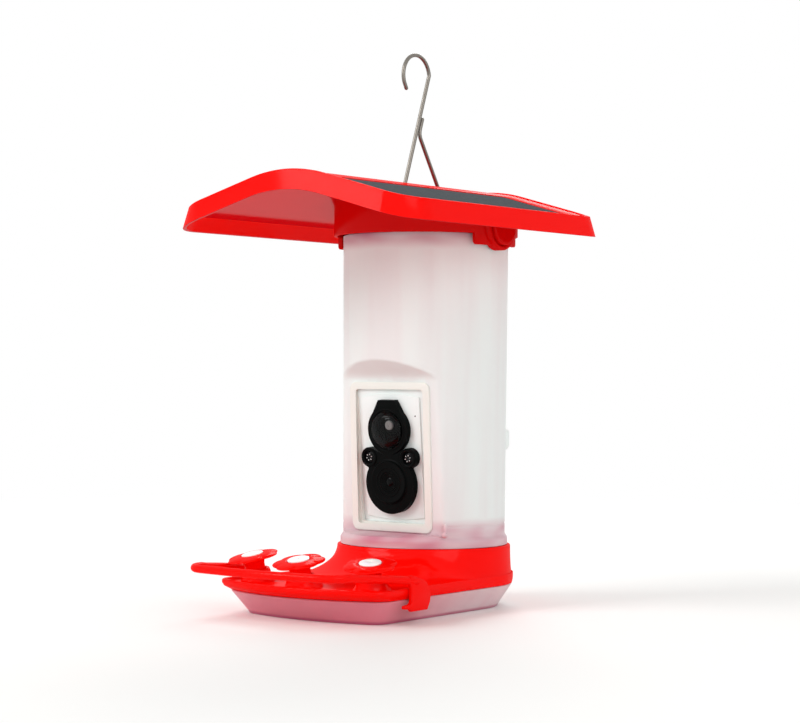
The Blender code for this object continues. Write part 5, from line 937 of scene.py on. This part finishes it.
def face_outline():
    """The black plate's outline: a crowned head, two ears and a round body, joined by rounded necks."""
    circles = ((*SENSOR, 13.9), (0, -15.2, 17.1), (EAR, 0, 5.7))
    crown, temple = Vector((5.7, 33.0)), Vector((13.6, 19.0))
    steps, neck = 240, 3.0
    half = []
    for i in range(steps + 1):
        ray = polar(1, math.radians(between(90, -90, i / steps)))
        reach = 0.0
        for x, y, radius in circles:
            nearest = ray.x * x + ray.y * y
            inside = radius ** 2 - (x * x + y * y - nearest ** 2)
            if inside > 0 and nearest + math.sqrt(inside) > 0:
                far = nearest + math.sqrt(inside)
                share = max(neck - abs(far - reach), 0) / neck
                reach = max(reach, far) + share ** 2 * neck / 4
        # The crown's flat top and its straight flanks down to the temples
        lean = math.atan2(ray.x, ray.y)
        if 0 <= lean <= math.atan2(crown.x, crown.y):
            reach = max(reach, crown.y / ray.y)
        elif ray.y > 0 and lean < math.atan2(temple.x, temple.y):
            flank = temple - crown
            reach = max(reach, (crown + flank * (crown.cross(ray) / ray.cross(flank))).length)
        half.append(ray * reach)
    return [(p.x, p.y) for p in half] + [(-p.x, p.y) for p in reversed(half[1:-1])]


def domed(radius, height, level, steps):
    """A quarter of a dome's profile, from its top out to its rim."""
    angles = [math.radians(90 * i / steps) for i in range(steps + 1)]
    return [(radius * math.sin(a), level + height * math.cos(a)) for a in angles]


class BuildCameraFace(bpy.types.Operator):
    """The black face with its sensor dome, stepped lens and two lamps"""

    bl_idname = "feeder.camera_face"
    bl_label = "Camera Face"

    def execute(self, context):
        sizes = context.scene.feeder_sizes
        lens, dome = sizes.lens_radius / MM, sizes.dome_radius / MM
        face = camera_face() @ at(0, 0, 1.0)
        shape = bmesh.new()
        slab(shape, face_outline(), 0.0, 4.1, face, 0.8, 4)
        plate = piece(shape, "face_plate", "black_pc", "camera", ["camera_faceplate"],
            sharp=40)
        wells = []
        for name, (x, y), radius, low in (
                ("dome_well", SENSOR, dome + 0.1, 1.2), ("lens_well", LENS, lens + 0.05, 0.1),
                ("right_well", (EAR, 0), 3.5, 2.1), ("left_well", (-EAR, 0), 3.5, 2.1)):
            shape = bmesh.new()
            spun(shape, [(0, low), (radius, low), (radius, 6.0), (0, 6.0)], 96, face @ at(x, y, 0))
            wells.append(as_object(shape, name))
        cut_away(plate, wells)
        shape = bmesh.new()
        # Raised rims round the dome and the lens, and a cup in each ear
        for (x, y), steps, profile in (
                (SENSOR, 96, [(dome + 1.6, 3.9), (dome + 1.4, 4.25), (dome + 1.0, 4.4), (dome + 0.6, 4.3),
                              (dome + 0.3, 3.9), (dome + 0.25, 3.2), (dome + 0.25, 2.0)]),
                (LENS, 96, [(lens + 1.2, 4.0), (lens + 0.6, 4.2), (lens + 0.15, 4.6), (lens + 0.15, 3.0)]),
                *(((side * EAR, 0), 64, [(5.4, 3.8), (5.4, 4.5), (5.1, 4.85), (4.2, 4.85), (3.75, 4.5),
                                         (3.6, 3.9)]) for side in (RIGHT, LEFT))):
            spun(shape, profile, steps, face @ at(x, y, 0))
        piece(shape, "face_rims", "black_pc", "camera", sharp=40)
        # The dome is a thin cap over a dark cup with the sensor's bright can. The lens cover's rings step down
        # to the glass, and each lamp is a low dome.
        cap = domed(dome, 4.2, 4.35, 14) + [(dome, 3.0), (dome - 0.9, 3.0)]
        cap += domed(dome - 0.9, 3.4, 4.2, 14)[::-1]
        cup = [(0, 1.4), (6.0, 1.4), (6.4, 2.0), (7.0, 2.0), (7.4, 1.5), (9.4, 1.5), (9.8, 3.6)]
        can = [(0, 2.0), (0.6, 2.0), (0.75, 2.5), (1.1, 2.6), (2.3, 2.6), (2.6, 2.3), (2.7, 1.3)]
        rings = [(lens, 0.2), (lens, 5.1), (lens - 0.25, 5.5), (lens - 0.7, 5.6), (lens - 1.2, 5.45),
                 (lens - 2.6, 5.3), (8.6, 5.2), (8.35, 5.42), (8.05, 5.42), (7.8, 5.15), (6.5, 5.1),
                 (6.3, 5.32), (6.0, 5.32), (5.75, 4.95), (5.3, 4.9), (5.1, 5.1), (4.85, 5.1), (4.6, 4.7),
                 (3.9, 4.65), (3.6, 4.3), (2.9, 4.25), (2.6, 3.9)]
        lamp = [(0, 4.05), (1.2, 4.0), (2.2, 3.85), (2.9, 3.5), (3.2, 3.0), (3.2, 2.2)]
        for name, finish, slot, nodes, sharp, steps, (x, y), profile in (
                ("sensor_window", "dome", "sensor_window", ["motion_sensor_dome"], 32, 96, SENSOR, cap),
                ("sensor_cup", "black_abs", "black_plastic", (), 32, 72, SENSOR, cup),
                ("sensor_can", "chip", "black_plastic", (), 32, 48, (0, 18.4), can),
                ("lens_rings", "black_pc", "dark_lens", ["lens_cover"], 40, 96, LENS, rings),
                ("lens_glass", "lens", "dark_lens", (), 32, 72, LENS, domed(2.7, 0.9, 3.7, 10))):
            shape = bmesh.new()
            spun(shape, profile, steps, face @ at(x, y, 0))
            piece(shape, name, finish, "camera", nodes, sharp)
        for side, word in SIDES:
            place = face @ at(side * EAR, 0, 0)
            shape = bmesh.new()
            spun(shape, lamp, 48, place)
            piece(shape, f"lamp_{word}_lens", "lamp", "camera", [f"infrared_lamp_{word}"])
            shape = bmesh.new()
            for i in range(6):
                spot = place @ turn(60 * i + 15, "Z") @ at(1.7, 0, 4.15)
                bmesh.ops.create_cube(shape, size=1.0, matrix=spot @ Matrix.Diagonal((0.65, 0.4, 0.35, 1)))
            bmesh.ops.bevel(shape, geom=shape.edges[:], offset=0.1, segments=2, profile=0.5, affect="EDGES",
                            material=-1)
            piece(shape, f"lamp_{word}_chips", "chip", "camera")
        return {"FINISHED"}


# Roof

def roof_height(x):
    """The roof's rim at this distance from the ridge: a round ridge, a straight slope and a hollow eave."""
    x = abs(x)
    slope, eave = math.radians(ROOF_SLOPE), math.radians(EAVE_SLOPE)
    if x < RIDGE_END:
        return RIDGE - RIDGE_RADIUS + math.sqrt(RIDGE_RADIUS ** 2 - x ** 2)
    if x < EAVE_START:
        return STRAIGHT_START - (x - RIDGE_END) * math.tan(slope)
    radius = 13.0 / (math.sin(slope) - math.sin(eave))
    lowest = EAVE_START + radius * math.sin(slope)
    middle = STRAIGHT_START - (EAVE_START - RIDGE_END) * math.tan(slope) + radius * math.cos(slope)
    return middle - math.sqrt(radius ** 2 - (lowest - x) ** 2)


def roof_ring(outward, depth):
    """The roof's plan moved outward, at this depth under its rim."""
    half_length, corner = 93.25, 20.0
    x, y = 63.0, half_length - corner
    stations = [RIDGE_END * i / 12 for i in range(13)] + [between(RIDGE_END, x, i / 6) for i in range(1, 6)]
    back = [(station, half_length + outward) for station in stations]
    back += arc((x, y), corner + outward, 90, 0, 20)
    half = [(px, -py) for px, py in back] + back[::-1]
    left = [(-px, py) for px, py in reversed(half[1:-1])]
    return [Vector((px, py + ROOF_MIDDLE, roof_height(px) - depth)) for px, py in half + left]


def solar_frame(side):
    """On the slope under a solar panel: X down the slope, Z out of it."""
    middle = 52.5
    height = STRAIGHT_START - (middle - RIDGE_END) * math.tan(math.radians(ROOF_SLOPE))
    return at(side * middle, -38.5, height) @ turn(side * ROOF_SLOPE, "Y")


def roof_strips(shape, row):
    """Closes a ring of the roof with strips from its front edge to its back edge."""
    front = sorted((v for v in row if v.co.y < ROOF_MIDDLE), key=lambda v: v.co.x)
    back = sorted((v for v in row if v.co.y > ROOF_MIDDLE), key=lambda v: v.co.x)
    chains = [shape.edges.get(pair) for line in (front, back) for pair in zip(line, line[1:])]
    bmesh.ops.bridge_loops(shape, edges=chains)


class BuildRoof(bpy.types.Operator):
    """The red roof with its raised rim, and the solar panels let into its slopes"""

    bl_idname = "feeder.roof"
    bl_label = "Roof and Solar Panels"

    def execute(self, context):
        shape = bmesh.new()
        start, end = skin(shape, [roof_ring(outward, depth) for outward, depth in (
            (-2.9, 0.8), (-2.6, 0.72), (-2.35, 0.35), (-2.1, 0.08), (-1.8, 0.0), (-0.7, 0.0), (-0.3, 0.08),
            (-0.08, 0.3), (0.0, 0.7), (1.6, 6.1), (2.9, 10.6), (3.1, 11.2), (2.9, 11.45), (2.5, 11.5),
            (1.3, 11.5), (0.9, 11.3), (0.75, 10.8), (-1.6, 6.0), (-3.0, 3.8))], capped=False)
        roof_strips(shape, start)
        roof_strips(shape, end)
        # Saddles, spring posts and screw posts under the ridge
        for y in (-12.75, 5.25):
            bmesh.ops.create_cube(shape, size=1.0, matrix=at(0, y, 239.5) @ Matrix.Diagonal((10, 3, 3.4, 1)))
        for side in (RIGHT, LEFT):
            block(shape, 3.4, 221.0, roof_height(28.8) - 3.0, 27.8, 29.8, facing_side(side, 0))
            spun(shape, [(0, 29.0), (1.8, 29.0), (1.8, 31.6), (1.4, 32.0), (0, 32.0)], 24,
                facing_side(side, SPRING_HEIGHT))
        for angle in SCREW_ANGLES:
            x, y, _ = (turn(angle, "Z") @ at(48.1, 0, 0)).translation
            post = [(1.5, 222.0), (2.2, 222.0), (2.4, 222.3), (2.4, roof_height(x) - 3.0)]
            spun(shape, post, 32, at(x, y, 0))
        roof = piece(shape, "roof_cover", "red_abs", "bottle", ["roof_shell"], sharp=40)
        # Pockets for the panels and slots for the hanger
        cutters = []
        for side in (RIGHT, LEFT):
            shape = bmesh.new()
            slab(shape, rounded_rectangle(48.5, 153.8, 3.3), -2.3, 3.0, solar_frame(side))
            cutters.append(as_object(shape, f"panel_pocket_{side}"))
        for name, low, high in (("front", -23.6, -18.2), ("rear", 9.5, 16.1)):
            shape = bmesh.new()
            block(shape, 7.0, low, high, 230, 250)
            cutters.append(as_object(shape, f"slot_{name}"))
        cut_away(roof, cutters)
        # Faces that look down take the darker red, painted shade under the roof.
        roof.data.materials.append(finishes["red_under"])
        for face in roof.data.polygons:
            face.material_index = int(face.normal.z < -0.5)
        for side, word in SIDES:
            shape = bmesh.new()
            slab(shape, rounded_rectangle(47.7, 153.0, 3.0), -2.1, -1.15, solar_frame(side), 0.25, 2)
            piece(shape, f"solar_glass_{word}", "solar", "bottle", [f"solar_panel_{word}"])
        return {"FINISHED"}


class BuildCollar(bpy.types.Operator):
    """The collar under the roof, with a lobe and a boss at each side"""

    bl_idname = "feeder.collar"
    bl_label = "Roof Collar"

    def execute(self, context):
        shape = bmesh.new()
        # Each quarter of the lower edge, as (angle, height): half a pad with a corner, then the level rim
        outer, pad, corner, drop = 53.5, 20.0, 1.5, 6.4
        edge = [(math.asin((pad - corner) / outer) * i / 8, -drop) for i in range(8)]
        for t in (math.radians(15 * i) for i in range(7)):
            across = pad - corner + corner * math.sin(t)
            edge.append((math.asin(across / outer), corner - drop - corner * math.cos(t)))
        start = math.asin(pad / outer) + 0.0015
        edge += [(math.asin(pad / outer) + 0.0004, -0.3), (start, 0.0)]
        edge += [(between(start, math.pi / 2, i / 40), 0.0) for i in range(1, 41)]
        edge += [(math.pi - angle, low) for angle, low in reversed(edge[:-1])]
        edge += [(math.pi + angle, low) for angle, low in edge[1:-1]]

        def ring(radius, raised):
            """A ring of the wall, raised this far over its lower edge, or else just under the roof."""
            points = []
            for angle, low in edge:
                x, y = radius * math.cos(angle), radius * math.sin(angle)
                height = roof_height(x) - 3.9 if raised is None else COLLAR_LOW + low + raised
                points.append(Vector((x, y, height)))
            return points

        skin(shape, [ring(*row) for row in (
            (51.3, 0.2), (51.6, 0.0), (53.0, 0.0), (53.35, 0.15), (outer, 0.5), (outer, None), (51.0, None),
            (51.0, 0.5))], closed=True)
        slope = math.radians(ROOF_SLOPE)
        for side in (RIGHT, LEFT):
            boss = [(10.5, 49.5), (10.5, 54.4), (10.75, 54.85), (11.2, 55.0), (12.3, 55.0), (12.8, 54.8),
                    (13.0, 54.4), (13.0, 49.5), (10.5, 49.5)]
            made = spun(shape, boss, 96, facing_side(side, BUTTON_HEIGHT))
            geom = [*made, *{e for v in made for e in v.link_edges}, *{f for v in made for f in v.link_faces}]
            bmesh.ops.bisect_plane(shape, geom=geom, plane_co=(side * 55.0, 0, 228.0),
                                   plane_no=(side * math.sin(slope), 0, math.cos(slope)), clear_outer=True)
        for angle in SCREW_ANGLES:
            ear = arc((0, 0), 51.6, -6, 6, 8) + arc((0, 0), 45.6, 6, -6, 8)
            slab(shape, ear, 219.7, 221.7, turn(angle, "Z"))
        # The collar takes the darker red, painted shade from the roof over it.
        piece(shape, "collar_ring", "shaded_red", "bottle", ["roof_collar"], sharp=45)
        return {"FINISHED"}


class BuildButtons(bpy.types.Operator):
    """The two domed release buttons, with their arms and springs"""

    bl_idname = "feeder.buttons"
    bl_label = "Release Buttons"

    def execute(self, context):
        radius = context.scene.feeder_sizes.button_radius / MM
        for side, word in SIDES:
            button, arm = f"release_button_{word}", facing_side(side, 0)
            shape = bmesh.new()
            profile = [(0, 56.7), (radius * 0.45, 56.75), (radius * 0.8, 56.95), (radius - 0.9, 57.1),
                       (radius - 0.4, 56.95), (radius - 0.1, 56.6), (radius, 56.1), (radius, 49.0),
                       (radius + 1.5, 48.9), (radius + 1.5, 47.8), (0, 47.8)]
            spun(shape, profile, 96, facing_side(side, BUTTON_HEIGHT))
            # The cap takes the darker red, painted shade from the roof over it.
            cap = piece(shape, f"button_{word}_cap", "shaded_red", button, [button], sharp=40)
            # Room for the bottle's shoulder when the button is pressed
            shape = bmesh.new()
            block(shape, 13, 204, SHOULDER + 0.8, 30.0, 50.8, arm)
            cut_away(cap, [as_object(shape, "shoulder_way")])
            shape = bmesh.new()
            for bar in ((5, 226.9, 229.0, 39.4, 49.0), (5, 218.0, 228.6, 39.4, 41.2),
                        (2.5, 219.6, 221.8, 40.0, 42.6)):
                block(shape, *bar, arm)
            piece(shape, f"button_{word}_arm", "shaded_red", button)
            # The spring between the roof's post and the arm's leg
            shape = bmesh.new()
            steps, coil, post, leg = 120, 2.65, 30.45, 38.7
            path = [polar(coil, t * math.pi / 12, between(post, leg, t / steps)) for t in range(steps + 1)]
            pipe(shape, [facing_side(side, SPRING_HEIGHT) @ p for p in path], 0.35, 8)
            spring = piece(shape, f"button_{word}_spring", "spring", "bottle",
                              [f"button_spring_{word}"], sharp=80)
            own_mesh(spring)
        return {"FINISHED"}


class BuildHanger(bpy.types.Operator):
    """The bent wire hanger with its open hook"""

    bl_idname = "feeder.hanger"
    bl_label = "Hanger"

    def execute(self, context):
        radius = context.scene.feeder_sizes.wire_radius / MM
        front, rear, bends = Vector((-22.0, 0)), Vector((14.5, 0)), [3.5] * 3
        hook_radius, throat_height, meet_height = 12.3, 66.6, 35.3
        rise = Vector((23.0, throat_height)).normalized()
        throat = front + rise * (throat_height / rise.y)
        centre = Vector((throat.x - hook_radius + radius, 80.1 - hook_radius))
        hook = [Vector(p) for p in arc(centre, hook_radius, 200, 8, 40)]
        tip = hook[0] + Vector((2.0, -3.6))
        meet = front + rise * (meet_height / rise.y) + Vector((rise.y, -rise.x)) * (2 * radius + 0.3)
        path = [tip] + hook + rounded_path([throat, front, rear, meet, meet + rise * 9.5], bends)
        shape = bmesh.new()
        pipe(shape, [(0, p.x, p.y + PIN_HEIGHT) for p in path], radius - 0.01, 20)
        piece(shape, "hanger_rod", "wire", "hanger", ["hanger_wire"], sharp=60)
        return {"FINISHED"}


class FinishHiddenParts(bpy.types.Operator):
    """Finishes for the solids that stay as packed: screws, seals and the camera's inner parts"""

    bl_idname = "feeder.hidden_parts"
    bl_label = "Screws and Inner Parts"

    def execute(self, context):
        kept = {"main_board": "board", "battery_cell": "cell_sleeve", "lens_barrel": "black_abs",
                "tray_gasket": "silicone", "bottle_seal": "silicone", "hanger_retainer": "black_abs",
                "charging_port_cover": "flap"}
        for name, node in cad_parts.items():
            finish = "screw" if "_screw_" in name else kept.get(name)
            if finish:
                node.data.materials.clear()
                node.data.materials.append(finishes[finish])
        return {"FINISHED"}


class BuildStage(bpy.types.Operator):
    """The pale floor, soft lights, white surroundings and the camera"""

    bl_idname = "feeder.stage"
    bl_label = "Stage"

    def execute(self, context):
        scene = context.scene
        shape = bmesh.new()
        bmesh.ops.create_circle(shape, cap_ends=True, segments=96, radius=12.0)
        mesh = bpy.data.meshes.new("floor")
        shape.to_mesh(mesh)
        shape.free()
        floor = bpy.data.objects.new("floor", mesh)
        scene.collection.objects.link(floor)
        mesh.materials.append(pale_floor())
        world = bpy.data.worlds.new("soft_studio")
        world.use_nodes = True
        scene.world = world
        back = world.node_tree.nodes["Background"]
        join(world.node_tree, (1.0, 1.0, 1.0, 1.0), back.inputs["Color"])
        join(world.node_tree, blend(world.node_tree, looked_at(world.node_tree), 0.62, 1.0, "FLOAT"),
             back.inputs["Strength"])
        feeder_middle = Vector((0, -0.03, 0.13))
        for name, place, size, power in (
                ("key", (-1.1, -1.9, 1.5), 1.3, 32.0), ("fill", (1.9, -0.7, 0.8), 1.2, 11.0),
                ("rim", (-0.9, 1.5, 1.3), 1.0, 16.0)):
            light = bpy.data.lights.new(name, "AREA")
            light.size = size
            light.energy = power
            lamp = bpy.data.objects.new(name, light)
            lamp.location = place
            lamp.rotation_euler = (feeder_middle - Vector(place)).to_track_quat("-Z", "Y").to_euler()
            scene.collection.objects.link(lamp)
        # The photo's view, as it was fitted to the object's corners
        data = bpy.data.cameras.new("photo_view")
        data.sensor_fit = "HORIZONTAL"
        data.sensor_width = 36.0
        data.lens = 95.984
        eye = bpy.data.objects.new("photo_view", data)
        right, up = Vector((0.79083, 0.61200, 0.00701)), Vector((-0.00222, -0.00857, 0.99996))
        place = Matrix((right, up, right.cross(up))).transposed().to_4x4()
        place.translation = (0.74961, -0.99238, 0.13433)
        eye.matrix_world = place
        scene.collection.objects.link(eye)
        scene.camera = eye
        scene.view_settings.view_transform = "Standard"
        return {"FINISHED"}


def looked_at(tree):
    """One for what the camera sees, straight, in a reflection or through a clear piece."""
    path = add_node(tree, "ShaderNodeLightPath", "Is Camera Ray").node
    seen = path.outputs["Is Camera Ray"]
    for way in ("Is Glossy Ray", "Is Transmission Ray"):
        seen = worked(tree, "MAXIMUM", seen, path.outputs[way])
    return seen


def pale_floor():
    """A matt white floor that runs into the white surroundings away from the feeder."""
    made, tree, place = new_material("matt_white_floor")
    dress(made, Base_Color=rgba(linear("#F4F4F2")), Roughness=0.8, Specular_IOR_Level=0.2)
    reach = add_node(tree, "ShaderNodeVectorMath", "Value", {0: place}, operation="LENGTH")
    shown = worked(tree, "MULTIPLY", ranged(tree, reach, 0.3, 1.1, 0.0, 1.0, "SMOOTHSTEP"), looked_at(tree))
    white = add_node(tree, "ShaderNodeEmission", "Emission", {"Color": (1, 1, 1, 1), "Strength": 1.0})
    matt = tree.nodes["Principled BSDF"].outputs["BSDF"]
    surface = add_node(tree, "ShaderNodeMixShader", "Shader", {0: shown, 1: matt, 2: white})
    join(tree, surface, tree.nodes["Material Output"].inputs["Surface"])
    return made


class FeederPanel(bpy.types.Panel):
    """The feeder's sizes, colours and pieces"""

    bl_idname = "VIEW3D_PT_feeder"
    bl_label = "Bird Feeder"
    bl_space_type = "VIEW_3D"
    bl_region_type = "UI"
    bl_category = "Feeder"

    def draw(self, context):
        for group in (context.scene.feeder_sizes, context.scene.feeder_colours):
            for name in group.__annotations__:
                self.layout.prop(group, name)
        for operator in OPERATORS:
            self.layout.operator(operator.bl_idname)


OPERATORS = (BuildTray, BuildDeck, BuildFlowers, BuildPerch, BuildBottle, BuildCameraShells, BuildCameraFace,
             BuildRoof, BuildCollar, BuildButtons, BuildHanger, FinishHiddenParts, BuildStage)
CLASSES = (FeederSizes, FeederColours, *OPERATORS, FeederPanel)


def register():
    for made in CLASSES:
        bpy.utils.register_class(made)
    bpy.types.Scene.feeder_sizes = bpy.props.PointerProperty(type=FeederSizes)
    bpy.types.Scene.feeder_colours = bpy.props.PointerProperty(type=FeederColours)


def unregister():
    del bpy.types.Scene.feeder_colours
    del bpy.types.Scene.feeder_sizes
    for made in reversed(CLASSES):
        bpy.utils.unregister_class(made)


def main():
    register()
    finishes.update(make_finishes(bpy.context.scene.feeder_colours))
    for operator in OPERATORS:
        group, name = operator.bl_idname.split(".")
        getattr(getattr(bpy.ops, group), name)()
    bpy.context.view_layer.update()


if __name__ == "__main__":
    main()
